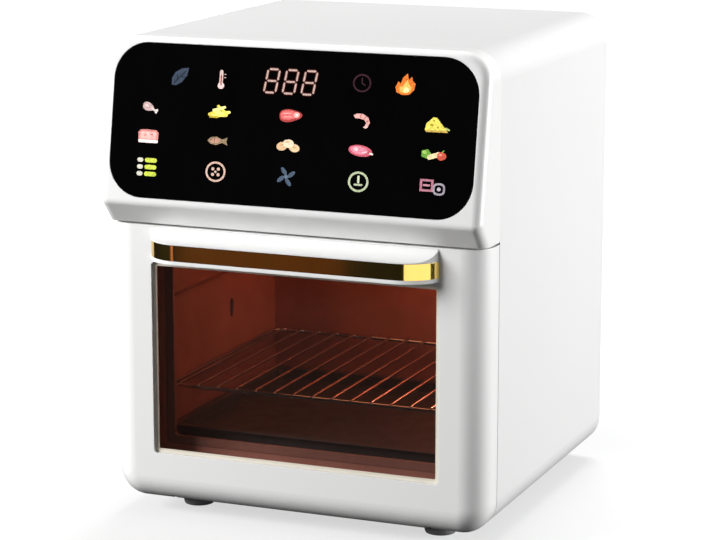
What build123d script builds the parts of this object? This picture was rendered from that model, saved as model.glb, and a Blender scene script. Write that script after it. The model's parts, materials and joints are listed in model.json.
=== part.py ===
"""Countertop air fryer oven: rounded steel housing, leaning touch head and bottom-hinged glass door."""
import math
import os
from build123d import *

# Housing, in millimetres
body_width = 310.0
body_top = 378.0
body_depth = 265.0
corner_radius = 23.0
wrap_sheet = 0.8
wrap_lip = 14.0
rear_lip = 9.0
rear_inset = 3.0
rear_sheet = 0.8
seat_gap = 0.2
foot_height = 12.8
foot_radius = 14.0
foot_taper = 2.0
foot_side_setback = 52.0
foot_front_setback = 18.0
foot_rear_setback = 32.0
base_sheet = 0.8
vent_slot_width = 3.0
vent_slot_length = 34.0
vent_pitch = 9.0
base_vent_rows = 8
rear_vent_rows = 9
rear_vent_start = 76.0

# Head and its black panel
head_depth = 44.0
head_edge_radius = 7.0
head_wall = 3.0
panel_lean = 10.0
panel_side_margin = 7.5
panel_height = 118.0
panel_corner = 28.0
panel_thickness = 2.0
panel_gap = 0.3
panel_top_margin = 4.5
panel_ledge = 2.0
chin_rim = 5.0
chin_radius = 6.0
lead_opening_half_width = 107.0
lead_opening_top = 346.0
lead_opening_corner = 8.0
seam_height = 235.0
board_depth = 9.0
board_thickness = 1.6
head_side_wall = 5.0
board_opening_margin = 19.5
board_opening_height = 98.0
touch_board_margin = 8.5
touch_board_height = 108.0
touch_board_corner = 4.0
boss_radius = 3.5
boss_margin = 5.0
boss_hole_depth = 4.0
touch_screw_reach = 3.5
pad_radius = 5.0
pad_side_margin = 31.5
pad_row_pitch = 22.5
first_row_height = 24.0
edge_pad_inset = 25.0
digit_rise = 69.75
digit_width = 62.0
digit_height = 24.0

# Door
door_depth = 30.0
door_seam_gap = 1.6
door_back_gap = 0.8
door_edge_radius = 20.0
door_wall = 4.0
door_side_wall = 6.0
door_hollow_floor = 26.0
window_side_margin = 36.5
window_bottom = 52.0
window_top = 204.5
window_corner = 3.0
glass_thickness = 3.0
glass_overlap = 6.0
glass_collar = 3.0
trim_width = 3.0
trim_thickness = 1.2
inner_plate = 3.0
inner_window_inset = 5.5
inner_window_bottom = 60.0
inner_window_top = 202.0
seal_width = 4.0
seal_height = 2.0
seal_groove = 1.5
seal_outset = 1.0
pillar_radius = 4.5
door_screw_side = 14.0
door_screw_margin = 7.0
door_screw_reach = 5.0
screw_end_gap = 1.0

# Handle on the door
handle_reach = 19.0
handle_side_margin = 37.0
handle_end_sweep = 28.0
handle_top = 223.8
handle_bottom = 207.6
strip_height = 12.4
strip_thickness = 1.0
strip_drop = 0.8
handle_blend_top = 232.4
blend_dip_back = 1.6
blend_dip_down = 2.2
recess_depth = 9.0
recess_lip = 5.0
recess_overrun = 5.0
handle_screw_reach = 6.0

# Hinge
hinge_side_setback = 48.0
hinge_arm = 3.0
hinge_arm_half_height = 5.0
hinge_side_gap = 0.6
hinge_pin_radius = 2.5
hinge_bush_radius = 4.0
hinge_block_half = 12.0
hinge_arm_length = 40.0
hinge_foot = 14.0
hinge_swing_gap = 1.0
hinge_pin_setback = 3.0
running_gap = 0.05

# Oven cavity
cavity_side_space = 29.0
cavity_floor = 44.0
cavity_ceiling = 223.0
cavity_depth = 217.0
cavity_sheet = 0.6
cavity_corner = 6.0
mouth_cover = 1.0
frame_thickness = 3.0
rail_reach = 6.0
rail_height = 7.0
rail_sheet = 1.0
rail_end_gap = 1.0
rail_tops = (64.0, 96.0, 168.0)
guard_radius = 92.0
guard_sheet = 1.5
guard_rings = 6
guard_wire = 3.0
guard_overlap = 4.0
guard_spokes = 4
guard_screw_radius = 1.0
guard_screw_head = 2.7
ceiling_hole_radius = 86.0

# Heater, fan and motor stack above the cavity
stack_half_width = 100.0
stack_half_depth = 95.0
stack_height = 41.0
stack_sheet = 0.6
stack_lip = 8.0
coil_height = 10.0
coil_tube = 3.25
coil_outer = 78.0
coil_inner = 58.0
coil_bend = 16.0
coil_hole_gap = 1.0
coil_outer_turn = 63.5
coil_inner_turn = 72.7
coil_joint_turn = 105.0
coil_arc_limit = 120.0
collar_wall = 3.0
collar_reach = 12.0
blade_length = 9.0
blade_width = 6.0
blade_sheet = 0.8
clip_width = 6.0
clip_sheet = 1.2
clip_reach = 8.0
shaft_radius = 4.0
hot_fan_radius = 62.0
hot_fan_rise = 18.0
hot_fan_height = 14.0
blade_thickness = 1.2
shield_sheet = 0.8
bracket_rise = 22.0
bracket_sheet = 2.0
bracket_margin = 14.0
bracket_foot = 12.0
bracket_width = 38.0
motor_radius = 38.0
motor_height = 38.0
motor_end = 5.0
bush_radius = 7.0
rotor_radius = 21.0
air_gap = 2.0
cool_fan_radius = 52.0
cool_fan_height = 12.0
cool_fan_rise = 6.0
cool_fan_blades = 7
cool_fan_pitch_angle = 28.0
cool_hub_wall = 7.0
hot_fan_blades = 8
hot_hub_wall = 5.0
hot_blade_gap = 12.0
nut_height = 4.0
nut_radius = 7.0
shaft_tail = 2.0
shaft_top = 4.0

# Rotisserie drive and oven lamp
spit_height = 134.0
spit_setback = 132.0
spit_slot_width = 6.0
spit_slot_height = 16.0
drive_shaft_radius = 5.0
drive_hole_gap = 1.0
drive_head_radius = 9.0
drive_square = 6.2
drive_socket_reach = 9.5
drive_socket_gap = 0.5
drive_shaft_length = 13.0
drive_square_floor = 2.0
drive_motor_size = 48.0
drive_motor_depth = 19.0
drive_motor_corner = 6.0
drive_motor_cap = 4.0
spit_plate = 2.0
spit_plate_margin = 13.0
lamp_setback = 182.0
lamp_radius = 17.0
lens_rim = 4.0
lens_rim_thickness = 2.0
lens_crown = 4.0
lens_edge_radius = 3.0
lamp_cup_depth = 23.0
lamp_cup_wall = 2.0
bulb_radius = 5.6
bulb_front_gap = 3.0
bulb_base_length = 5.0
bulb_base_rim = 2.0

# Rack and drip tray
rack_wire = 1.6
rack_bar = 1.2
rack_end_gap = 4.0
rack_bar_margin = 4.0
rack_side_gap = 1.5
rack_bars = 15
tray_sheet = 0.8
tray_drop = 9.0
tray_lip = 6.0
rail_gap = 0.3

# Rear panel fittings
grille_half = 62.0
grille_bottom = 294.0
grille_top = 352.0
grille_bar = 4.0
louvre_thickness = 2.0
louvre_rows = 4
cord_foot_inset = 33.0
cord_z = 46.0
cord_radius = 8.0
cord_bore = 3.6
cord_flange = 3.0
terminal_setback = 20.0
terminal_length = 40.0
terminal_depth = 16.0
terminal_height = 15.0
terminal_pitch = 12.0
terminal_well = 3.0
terminal_bore = 2.0

# Door catch and switch
magnet_length = 24.0
magnet_width = 9.0
magnet_thickness = 6.0
striker_thickness = 1.5
catch_margin = 7.0
catch_height = 184.0
switch_drop = 30.0
switch_below = 12.0
switch_above = 8.0
switch_width = 10.0
switch_depth = 22.0
plunger_radius = 2.5
plunger_length = 17.0

# Temperature probe
probe_x = 70.0
probe_height = 209.0
probe_radius = 2.0
probe_reach = 32.0
probe_tail = 14.0
probe_flange_radius = 6.0
probe_flange_thickness = 4.0

# Power board and its lead
board_side_gap = 6.0
board_front_gap = 22.0
board_width = 76.0
board_length = 120.0
board_rise = 8.0
board_screw_margin = 5.0
standoff_radius = 3.0
capacitor_radius = 9.0
capacitor_height = 26.0
transformer_width = 30.0
transformer_depth = 26.0
transformer_height = 22.0
relay_count = 3
relay_width = 16.0
relay_depth = 20.0
relay_height = 15.0
relay_pitch = 20.0
relay_setback = 52.0
sink_thickness = 4.0
sink_length = 32.0
sink_height = 24.0
sink_setback = 80.0
module_width = 30.0
module_height = 10.0
cutout_x = 60.0
cutout_radius = 8.0
cutout_height = 6.0
cutout_setback = 16.0
ribbon_width = 16.0
ribbon_thickness = 0.8
ribbon_bend = 4.0

# Screws
screw_radius = 1.6
screw_head = 3.4
screw_head_height = 1.6
pick_margin = 0.5

# Places worked out from the sizes above
half_width = body_width / 2
panel_width = body_width - 2 * panel_side_margin
touch_board_width = panel_width - 2 * touch_board_margin
board_opening_width = panel_width - 2 * board_opening_margin
pad_column_pitch = (panel_width / 2 - pad_side_margin) / 2
window_width = body_width - 2 * window_side_margin
inner_window_width = window_width - 2 * inner_window_inset
handle_length = body_width - 2 * handle_side_margin
handle_straight = handle_length - 2 * handle_end_sweep
recess_length = handle_straight + 2 * recess_overrun
hinge_offset = half_width - hinge_side_setback
foot_spread = half_width - foot_side_setback
cord_x = cord_foot_inset - foot_spread
cavity_half_width = half_width - cavity_side_space
z_base = foot_height - wrap_sheet
y_back = (body_depth + door_depth + handle_reach) / 2
y_seam = y_back - body_depth
y_door = y_seam - door_depth
y_handle = y_door - handle_reach
door_bottom = z_base
door_top = seam_height - door_seam_gap
y_door_back = y_seam - door_back_gap
hinge_y = (y_door + y_door_back) / 2
hinge_z = door_bottom + (y_door_back - y_door) / 2
y_cavity = y_seam + frame_thickness
y_cavity_back = y_cavity + cavity_depth
fan_y = y_cavity + cavity_depth / 2
lean = math.radians(panel_lean)
panel_z_top = body_top - panel_top_margin
panel_z_bottom = panel_z_top - panel_height * math.cos(lean)
panel_y_bottom = y_seam - head_depth
y_rear_panel = y_back - rear_inset
spit_y = y_seam + spit_setback
lamp_y = y_seam + lamp_setback
lamp_height = (rail_tops[-1] + cavity_ceiling) / 2
switch_height = catch_height - switch_drop
pan_top = foot_height + base_sheet
stack_base = cavity_ceiling + cavity_sheet
stack_top = stack_base + stack_height
shield_top = stack_top + shield_sheet
motor_base = shield_top + bracket_rise
motor_top = motor_base + motor_height
catch_x = cavity_half_width + cavity_sheet + catch_margin + magnet_width / 2
board_x0 = board_side_gap - half_width + wrap_sheet
board_x1 = board_x0 + board_width
board_y0 = y_cavity + board_front_gap
digit_row = first_row_height + digit_rise


def block(x0, x1, y0, y1, z0, z1):
    """Box between two corners."""
    return Pos((x0 + x1) / 2, (y0 + y1) / 2, (z0 + z1) / 2) * Box(x1 - x0, y1 - y0, z1 - z0)


def post(x, y, z0, z1, radius):
    """Upright cylinder."""
    return Pos(x, y, (z0 + z1) / 2) * Cylinder(radius, z1 - z0)


def cross_rod(x0, x1, y, z, radius):
    """Cylinder lying from side to side."""
    return Pos((x0 + x1) / 2, y, z) * Rot(0, 90, 0) * Cylinder(radius, x1 - x0)


def deep_rod(x, y0, y1, z, radius):
    """Cylinder lying from front to back."""
    return Pos(x, (y0 + y1) / 2, z) * Rot(90, 0, 0) * Cylinder(radius, y1 - y0)


def facing(y):
    """Plane that faces the front at depth y, with x across and z up."""
    return Plane(origin=(0, y, 0), x_dir=(1, 0, 0), z_dir=(0, -1, 0))


def front_slab(half, z0, z1, radius, y0, y1):
    """Rounded rectangle seen from the front, as deep as y0 to y1."""
    outline = Pos(0, (z0 + z1) / 2) * RectangleRounded(2 * half, z1 - z0, radius)
    return extrude(facing(y1) * outline, y1 - y0)


def both_sides(shape):
    """The shape and its mirror image on the other side."""
    return shape + mirror(shape, about=Plane.YZ)


def front_y(z, depth):
    """Depth position of a plane that lies the given distance behind the leaning front of the head."""
    return panel_y_bottom + (z - panel_z_bottom) * math.tan(lean) + depth / math.cos(lean)


def on_panel(u, v, depth):
    """Place on the leaning panel: u across from its middle, v up from its edge, depth behind its face."""
    plane = Plane(
        origin=(0, panel_y_bottom, panel_z_bottom),
        x_dir=(1, 0, 0),
        z_dir=(0, -math.cos(lean), math.sin(lean)),
    )
    return plane * Pos(u, v, -depth)


def rear_screw_places():
    """Places of the rear panel's screws, on the wrap's rear lip."""
    x = half_width - wrap_sheet - rear_lip / 2
    middle = (z_base + body_top) / 2
    top = body_top - wrap_sheet - rear_lip / 2
    bottom = z_base + wrap_sheet + rear_lip / 2
    reach = (top - bottom) / 2 - corner_radius
    sides = [(side * x, middle + level * reach) for side in (-1, 1) for level in (-1, 0, 1)]
    return sides + [(side * half_width / 2, top) for side in (-1, 1)]


def base_screw_places():
    """Places of the screws that join the base pan to the wrap's bottom lips."""
    x = half_width - corner_radius - wrap_lip / 2
    margin = 2 * foot_front_setback
    ys = [y_seam + margin + step * (body_depth - 2 * margin) / 2 for step in range(3)]
    return [(side * x, y) for side in (-1, 1) for y in ys]


def foot_places():
    """Places of the four feet under the base pan."""
    ys = (y_seam + foot_front_setback, y_back - foot_rear_setback)
    return [(side * foot_spread, y) for side in (-1, 1) for y in ys]


def make_outer_wrap():
    """Steel shell bent round the top, the sides and the lower corners, with a lip for the rear panel."""
    outer = front_slab(half_width, z_base, body_top, corner_radius, y_seam, y_back)
    inner = front_slab(
        half_width - wrap_sheet,
        z_base + wrap_sheet,
        body_top - wrap_sheet,
        corner_radius - wrap_sheet,
        y_seam,
        y_back,
    )
    shell = outer - inner
    gap = half_width - corner_radius - wrap_lip
    shell -= block(-gap, gap, y_seam, y_back, z_base, z_base + wrap_sheet)
    lip = front_slab(
        half_width - wrap_sheet,
        z_base + wrap_sheet,
        body_top - wrap_sheet,
        corner_radius - wrap_sheet,
        y_rear_panel - wrap_sheet,
        y_rear_panel,
    )
    lip -= front_slab(
        half_width - wrap_sheet - rear_lip,
        z_base + wrap_sheet + rear_lip,
        body_top - wrap_sheet - rear_lip,
        corner_radius / 2,
        y_rear_panel - wrap_sheet,
        y_rear_panel,
    )
    shell += lip
    for x, z in rear_screw_places():
        shell -= deep_rod(x, y_rear_panel - 2 * wrap_sheet, y_rear_panel, z, screw_radius + running_gap)
    for x, y in base_screw_places():
        shell -= post(x, y, z_base, z_base + wrap_sheet, screw_radius + running_gap)
    return shell


def make_base_pan():
    """Flat floor sheet on the wrap's lips, with rows of air slots."""
    half = half_width - corner_radius
    y0 = y_seam + frame_thickness + seat_gap
    y1 = y_rear_panel - wrap_sheet - seat_gap
    pan = block(-half, half, y0, y1, foot_height, pan_top)
    for side in (-1, 1):
        for row in range(base_vent_rows):
            y = fan_y + (row - (base_vent_rows - 1) / 2) * vent_pitch
            x = side * half_width / 4
            pan -= block(
                x - vent_slot_length / 2,
                x + vent_slot_length / 2,
                y - vent_slot_width / 2,
                y + vent_slot_width / 2,
                foot_height,
                pan_top,
            )
    for x, y in base_screw_places() + foot_places():
        pan -= post(x, y, foot_height, pan_top, screw_radius + running_gap)
    return pan


def make_feet():
    """Four tapered rubber feet with a sunk hole for the screw."""
    feet = Part()
    for x, y in foot_places():
        foot = Pos(x, y, foot_height / 2) * Rot(180, 0, 0) * Cone(
            foot_radius, foot_radius - foot_taper, foot_height
        )
        foot -= post(x, y, 0, foot_height, screw_radius + running_gap)
        foot -= post(x, y, 0, foot_height / 2, screw_head + seat_gap)
        feet += foot
    return feet


def vent_block_places():
    """Places of the slots in the rear panel's two vent fields."""
    rows = [z_base + rear_vent_start + row * vent_pitch for row in range(rear_vent_rows)]
    return [(side * half_width / 2, z) for side in (-1, 1) for z in rows]


def make_rear_panel():
    """Rear sheet with vent slots, the exhaust window and the cord hole."""
    panel = front_slab(
        half_width - wrap_sheet - seat_gap,
        z_base + wrap_sheet + seat_gap,
        body_top - wrap_sheet - seat_gap,
        corner_radius - wrap_sheet - seat_gap,
        y_rear_panel,
        y_rear_panel + rear_sheet,
    )
    for x, z in vent_block_places():
        panel -= block(
            x - vent_slot_length / 2,
            x + vent_slot_length / 2,
            y_rear_panel,
            y_rear_panel + rear_sheet,
            z - vent_slot_width / 2,
            z + vent_slot_width / 2,
        )
    panel -= block(
        grille_bar - grille_half,
        grille_half - grille_bar,
        y_rear_panel,
        y_rear_panel + rear_sheet,
        grille_bottom + grille_bar,
        grille_top - grille_bar,
    )
    panel -= deep_rod(cord_x, y_rear_panel, y_rear_panel + rear_sheet, cord_z, cord_radius)
    for x, z in rear_screw_places():
        panel -= deep_rod(x, y_rear_panel, y_rear_panel + rear_sheet, z, screw_radius + running_gap)
    return panel


def make_housing_screws():
    """Pan head screws that hold the feet, the base pan and the rear panel."""
    y0 = y_rear_panel + rear_sheet
    screws = Part()
    for x, y in base_screw_places():
        screws += post(x, y, z_base - screw_head_height, z_base, screw_head)
        screws += post(x, y, z_base, pan_top + wrap_sheet, screw_radius)
    for x, z in rear_screw_places():
        screws += deep_rod(x, y0, y0 + screw_head_height, z, screw_head)
        screws += deep_rod(x, y_rear_panel - 3 * wrap_sheet, y0, z, screw_radius)
    for x, y in foot_places():
        z_head = foot_height / 2 - screw_head_height
        screws += post(x, y, z_head, foot_height / 2, screw_head)
        screws += post(x, y, foot_height / 2, pan_top + wrap_sheet, screw_radius)
    return screws


def make_exhaust_grille():
    """Framed set of flat louvres over the exhaust window."""
    y0 = y_rear_panel + rear_sheet
    inner_half = grille_half - grille_bar
    low = grille_bottom + grille_bar
    high = grille_top - grille_bar
    frame = block(-grille_half, grille_half, y0, y_back, grille_bottom, grille_top)
    frame -= block(-inner_half, inner_half, y0, y_back, low, high)
    pitch = (high - low) / (louvre_rows + 1)
    for row in range(1, louvre_rows + 1):
        z = low + row * pitch
        frame += block(
            -inner_half, inner_half, y0, y_back, z - louvre_thickness / 2, z + louvre_thickness / 2
        )
    return frame


def make_cord_bushing():
    """Round bushing with a bore, clipped into the rear panel."""
    y0 = y_rear_panel
    y1 = y_rear_panel + rear_sheet
    bushing = deep_rod(cord_x, y0 - 2 * cord_flange, y1, cord_z, cord_radius - seat_gap / 4)
    bushing += deep_rod(cord_x, y1, y_back, cord_z, cord_radius + cord_flange)
    bushing += deep_rod(
        cord_x, y0 - 2 * cord_flange, y0 - cord_flange / 3, cord_z, cord_radius + cord_flange / 3
    )
    bushing -= deep_rod(cord_x, y0 - 2 * cord_flange, y_back, cord_z, cord_bore)
    return bushing


def make_terminal_block():
    """Three-way terminal block on the base pan behind the cord bushing."""
    y1 = y_rear_panel - terminal_setback
    y0 = y1 - terminal_depth
    half = terminal_length / 2
    blocks = block(cord_x - half, cord_x + half, y0, y1, pan_top, pan_top + terminal_height)
    for step in (-1, 0, 1):
        x = cord_x + step * terminal_pitch
        middle = (y0 + y1) / 2
        top = pan_top + terminal_height
        blocks -= post(x, middle, top - 2 * terminal_well, top, terminal_well)
        blocks -= deep_rod(x, y0, y1, pan_top + 2 * terminal_bore, terminal_bore)
    return blocks


def make_front_frame():
    """Bezel behind the door and the head, with the oven mouth, an opening for leads and hinge slots."""
    frame = front_slab(
        half_width - wrap_sheet - seat_gap,
        z_base + wrap_sheet + seat_gap,
        body_top - wrap_sheet - seat_gap,
        corner_radius - wrap_sheet - seat_gap,
        y_seam,
        y_cavity,
    )
    frame -= front_slab(
        cavity_half_width - mouth_cover,
        cavity_floor + mouth_cover,
        cavity_ceiling - mouth_cover,
        cavity_corner,
        y_seam,
        y_cavity,
    )
    frame -= front_slab(
        lead_opening_half_width,
        shield_top + head_wall,
        lead_opening_top,
        lead_opening_corner,
        y_seam,
        y_cavity,
    )
    slot_half = hinge_arm / 2 + hinge_side_gap
    for side in (-1, 1):
        x = side * hinge_offset
        low = hinge_z - hinge_arm_half_height - hinge_side_gap
        high = hinge_z + hinge_arm_half_height + hinge_side_gap
        frame -= block(x - slot_half, x + slot_half, y_seam, y_cavity, low, high)
        frame -= magnet_box(side, seat_gap / 2)
    frame -= switch_hole(seat_gap)
    return frame


def magnet_box(side, grow):
    """Space of one door magnet, grown all round."""
    x = side * catch_x
    return block(
        x - magnet_width / 2 - grow,
        x + magnet_width / 2 + grow,
        y_seam,
        y_seam + magnet_thickness,
        catch_height - magnet_length / 2 - grow,
        catch_height + magnet_length / 2 + grow,
    )


def make_door_magnets():
    """Two magnets set flush in the front frame."""
    return magnet_box(-1, 0) + magnet_box(1, 0)


def switch_hole(grow):
    """Hole of the door switch's plunger through the front frame."""
    return deep_rod(catch_x, y_seam, y_cavity, switch_height, plunger_radius + grow)


def make_door_switch():
    """Snap switch body behind the front frame, with a bore for its plunger."""
    y1 = y_cavity + switch_depth
    half = switch_width / 2
    body = block(
        catch_x - half,
        catch_x + half,
        y_cavity,
        y1,
        switch_height - switch_below,
        switch_height + switch_above,
    )
    body -= deep_rod(catch_x, y_cavity, y1 - half, switch_height, plunger_radius + running_gap)
    return body


def make_switch_plunger():
    """Plunger held in by the closed door."""
    return deep_rod(catch_x, y_seam, y_seam + plunger_length, switch_height, plunger_radius)


def make_oven_cavity():
    """Liner: floor, walls, back and ceiling of bent sheet, with holes for fan, lamp, probe and spit."""
    outer = front_slab(
        cavity_half_width + cavity_sheet,
        cavity_floor - cavity_sheet,
        cavity_ceiling + cavity_sheet,
        cavity_corner + cavity_sheet,
        y_cavity,
        y_cavity_back + cavity_sheet,
    )
    inner = front_slab(
        cavity_half_width, cavity_floor, cavity_ceiling, cavity_corner, y_cavity, y_cavity_back
    )
    liner = outer - inner
    liner -= post(0, fan_y, cavity_ceiling, cavity_ceiling + cavity_sheet, ceiling_hole_radius)
    x = cavity_half_width
    liner -= cross_rod(x, x + cavity_sheet, lamp_y, lamp_height, lamp_radius)
    liner -= cross_rod(x, x + cavity_sheet, spit_y, spit_height, drive_shaft_radius + drive_hole_gap)
    liner -= spit_slot(-x - cavity_sheet, -x)
    liner -= deep_rod(probe_x, y_cavity_back, y_cavity_back + cavity_sheet, probe_height, probe_radius)
    return liner


def make_rack_rails():
    """Six angle strips welded to the side walls, each with a level shelf and a flange that hangs down."""
    wall = cavity_half_width
    y0 = y_cavity + rail_reach
    y1 = y_cavity_back - rail_end_gap
    rails = Part()
    for top in rail_tops:
        shelf = block(wall - rail_reach, wall, y0, y1, top - rail_sheet, top)
        flange = block(wall - rail_sheet, wall, y0, y1, top - rail_height, top)
        rails += both_sides(shelf + flange)
    return rails


def spit_slot(x0, x1):
    """Upright slot with round ends for the idle end of a spit."""
    straight = spit_slot_height - spit_slot_width
    slot = block(
        x0,
        x1,
        spit_y - spit_slot_width / 2,
        spit_y + spit_slot_width / 2,
        spit_height - straight / 2,
        spit_height + straight / 2,
    )
    for level in (-1, 1):
        slot += cross_rod(x0, x1, spit_y, spit_height + level * straight / 2, spit_slot_width / 2)
    return slot


def make_spit_support():
    """Stiffening plate behind the left wall, with the same slot."""
    x1 = -cavity_half_width - cavity_sheet
    x0 = x1 - spit_plate
    across = spit_slot_width / 2 + spit_plate_margin
    along = spit_slot_height / 2 + spit_plate_margin
    plate = block(x0, x1, spit_y - across, spit_y + across, spit_height - along, spit_height + along)
    plate -= spit_slot(x0, x1)
    return plate


def make_rotisserie_motor():
    """Geared motor on the right wall of the cavity."""
    x0 = cavity_half_width + cavity_sheet
    half = drive_motor_size / 2
    motor = block(
        x0, x0 + drive_motor_depth, spit_y - half, spit_y + half, spit_height - half, spit_height + half
    )
    motor = fillet(motor.edges().filter_by(Axis.X), drive_motor_corner)
    bore = drive_shaft_radius + running_gap
    motor -= cross_rod(x0, x0 + drive_motor_depth - drive_motor_cap, spit_y, spit_height, bore)
    return motor


def make_drive_socket():
    """Turning socket with a square hole for the spit."""
    wall = cavity_half_width
    inside = wall - drive_socket_reach
    head_end = wall - drive_socket_gap
    socket = cross_rod(inside, head_end, spit_y, spit_height, drive_head_radius)
    socket += cross_rod(head_end, wall + drive_shaft_length, spit_y, spit_height, drive_shaft_radius)
    socket -= block(
        inside,
        wall - drive_square_floor,
        spit_y - drive_square / 2,
        spit_y + drive_square / 2,
        spit_height - drive_square / 2,
        spit_height + drive_square / 2,
    )
    return socket


def make_lamp_lens():
    """Shallow glass dome over the lamp hole."""
    x1 = cavity_half_width
    x0 = x1 - lens_rim_thickness
    rim = cross_rod(x0, x1, lamp_y, lamp_height, lamp_radius + lens_rim)
    crown = cross_rod(x0 - lens_crown, x0, lamp_y, lamp_height, lamp_radius)
    crown = fillet(crown.edges().sort_by(Axis.X)[0], lens_edge_radius)
    return rim + crown


def make_lamp_housing():
    """Cup behind the right wall that holds the bulb."""
    x0 = cavity_half_width + cavity_sheet
    x1 = x0 + lamp_cup_depth
    cup = cross_rod(x0, x1, lamp_y, lamp_height, lamp_radius + lamp_cup_wall)
    cup -= cross_rod(x0, x1 - lamp_cup_wall, lamp_y, lamp_height, lamp_radius)
    return cup


def make_lamp_bulb():
    """Capsule bulb on a short ceramic base."""
    x0 = cavity_half_width + cavity_sheet
    crown = x0 + bulb_front_gap + bulb_radius
    foot = x0 + lamp_cup_depth - lamp_cup_wall
    base = foot - bulb_base_length
    bulb = cross_rod(crown, base, lamp_y, lamp_height, bulb_radius)
    bulb += Pos(crown, lamp_y, lamp_height) * Sphere(bulb_radius)
    bulb += cross_rod(base, foot, lamp_y, lamp_height, bulb_radius + bulb_base_rim)
    return bulb


def make_temperature_probe():
    """Rod sensor through the back wall with a flange outside."""
    y1 = y_cavity_back
    y_flange = y1 + cavity_sheet
    probe = deep_rod(
        probe_x, y1 - probe_reach, y_flange + probe_tail, probe_height, probe_radius - seat_gap / 4
    )
    probe += deep_rod(
        probe_x, y_flange, y_flange + probe_flange_thickness, probe_height, probe_flange_radius
    )
    return probe


def make_fan_guard():
    """Round guard of rings and spokes under the ceiling."""
    z0 = cavity_ceiling - guard_sheet
    rim_inner = ceiling_hole_radius - guard_overlap
    outline = Circle(guard_radius) - Circle(rim_inner)
    pitch = rim_inner / guard_rings
    for ring in range(1, guard_rings):
        radius = ring * pitch
        outline += Circle(radius + guard_wire / 2) - Circle(radius - guard_wire / 2)
    for turn in range(guard_spokes):
        outline += Rot(0, 0, 180 / guard_spokes * turn) * Rectangle(2 * ceiling_hole_radius, guard_wire)
    guard = Pos(0, fan_y, z0) * extrude(outline, guard_sheet)
    for x, y in guard_screw_places():
        guard -= post(x, y, z0, cavity_ceiling, guard_screw_radius)
    return guard


def guard_screw_places():
    """Places of the guard's screws on its rim."""
    radius = (guard_radius + ceiling_hole_radius) / 2
    turns = [math.radians(45 + 90 * step) for step in range(4)]
    return [(radius * math.cos(turn), fan_y + radius * math.sin(turn)) for turn in turns]


def make_guard_screws():
    """Small screws under the guard's rim."""
    z0 = cavity_ceiling - guard_sheet
    screws = Part()
    for x, y in guard_screw_places():
        screws += post(x, y, z0 - screw_head_height, z0, guard_screw_head)
        screws += post(x, y, z0, cavity_ceiling, guard_screw_radius - running_gap)
    return screws


def make_heater_housing():
    """Pressed box above the ceiling hole that holds the coil and the hot fan."""
    x = stack_half_width
    y0 = fan_y - stack_half_depth
    y1 = fan_y + stack_half_depth
    box = block(-x, x, y0, y1, stack_base, stack_top)
    box += block(
        -x - stack_lip, x + stack_lip, y0 - stack_lip, y1 + stack_lip, stack_base, stack_base + stack_sheet
    )
    box -= block(
        stack_sheet - x,
        x - stack_sheet,
        y0 + stack_sheet,
        y1 - stack_sheet,
        stack_base,
        stack_top - stack_sheet,
    )
    box -= post(0, fan_y, stack_top - stack_sheet, stack_top, shaft_radius + air_gap)
    for x_lead, _ in coil_leads():
        box -= deep_rod(
            x_lead, y1 - stack_sheet, y1, stack_base + coil_height, coil_tube + coil_hole_gap
        )
    return box


def coil_leads():
    """Side places and turns of the coil's two straight leads."""
    outer_turn = math.radians(coil_outer_turn)
    inner_turn = math.radians(coil_inner_turn)
    outer_x = (coil_outer + coil_bend) * math.cos(outer_turn) - coil_bend
    inner_x = (coil_inner + coil_bend) * math.cos(inner_turn) - coil_bend
    return [(outer_x, outer_turn), (inner_x, inner_turn)]


def arc(centre_x, centre_y, radius, start, size):
    """Arc in the coil's plane, cut into pieces of less than half a turn."""
    count = max(1, math.ceil(abs(size) / coil_arc_limit))
    step = size / count
    return [
        CenterArc((centre_x, centre_y, 0), radius, start + piece * step, step) for piece in range(count)
    ]


def make_heater_coil():
    """Tube bent into two rings joined by a half turn, with both leads out at the back."""
    (outer_x, outer_turn), (inner_x, inner_turn) = coil_leads()
    end_y = stack_half_depth + collar_reach
    outer_deg = coil_outer_turn
    inner_deg = coil_inner_turn
    bend_deg = coil_joint_turn
    bend = math.radians(bend_deg)
    outer_reach = coil_outer + coil_bend
    inner_reach = coil_inner + coil_bend
    middle = (coil_outer + coil_inner) / 2
    outer_bend = (outer_reach * math.cos(outer_turn), outer_reach * math.sin(outer_turn))
    inner_bend = (inner_reach * math.cos(inner_turn), inner_reach * math.sin(inner_turn))
    path = [Line((outer_x, end_y, 0), (outer_x, outer_bend[1], 0))]
    path += arc(outer_bend[0], outer_bend[1], coil_bend, 180, outer_deg)
    path += arc(0, 0, coil_outer, outer_deg, -(360 - (bend_deg - outer_deg)))
    path += arc(
        middle * math.cos(bend), middle * math.sin(bend), (coil_outer - coil_inner) / 2, bend_deg, -180
    )
    path += arc(0, 0, coil_inner, bend_deg, 360 - (bend_deg - inner_deg))
    path += arc(inner_bend[0], inner_bend[1], coil_bend, 180 + inner_deg, -inner_deg)
    path += [Line((inner_x, inner_bend[1], 0), (inner_x, end_y, 0))]
    section = Plane(origin=(outer_x, end_y, 0), z_dir=(0, -1, 0)) * Circle(coil_tube)
    coil = sweep(section, Wire(path), clean=False)
    return Pos(0, fan_y, stack_base + coil_height) * coil


def make_heater_terminals():
    """Ceramic collars with blades at the ends of the coil's leads."""
    y0 = fan_y + stack_half_depth
    end = y0 + collar_reach
    ends = Part()
    z = stack_base + coil_height
    for x, _ in coil_leads():
        collar = deep_rod(x, y0, end, z, coil_tube + collar_wall)
        collar -= deep_rod(x, y0, end, z, coil_tube + running_gap)
        ends += collar
        ends += block(
            x - blade_width / 2,
            x + blade_width / 2,
            end,
            end + blade_length,
            z - blade_sheet / 2,
            z + blade_sheet / 2,
        )
    return ends


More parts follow.
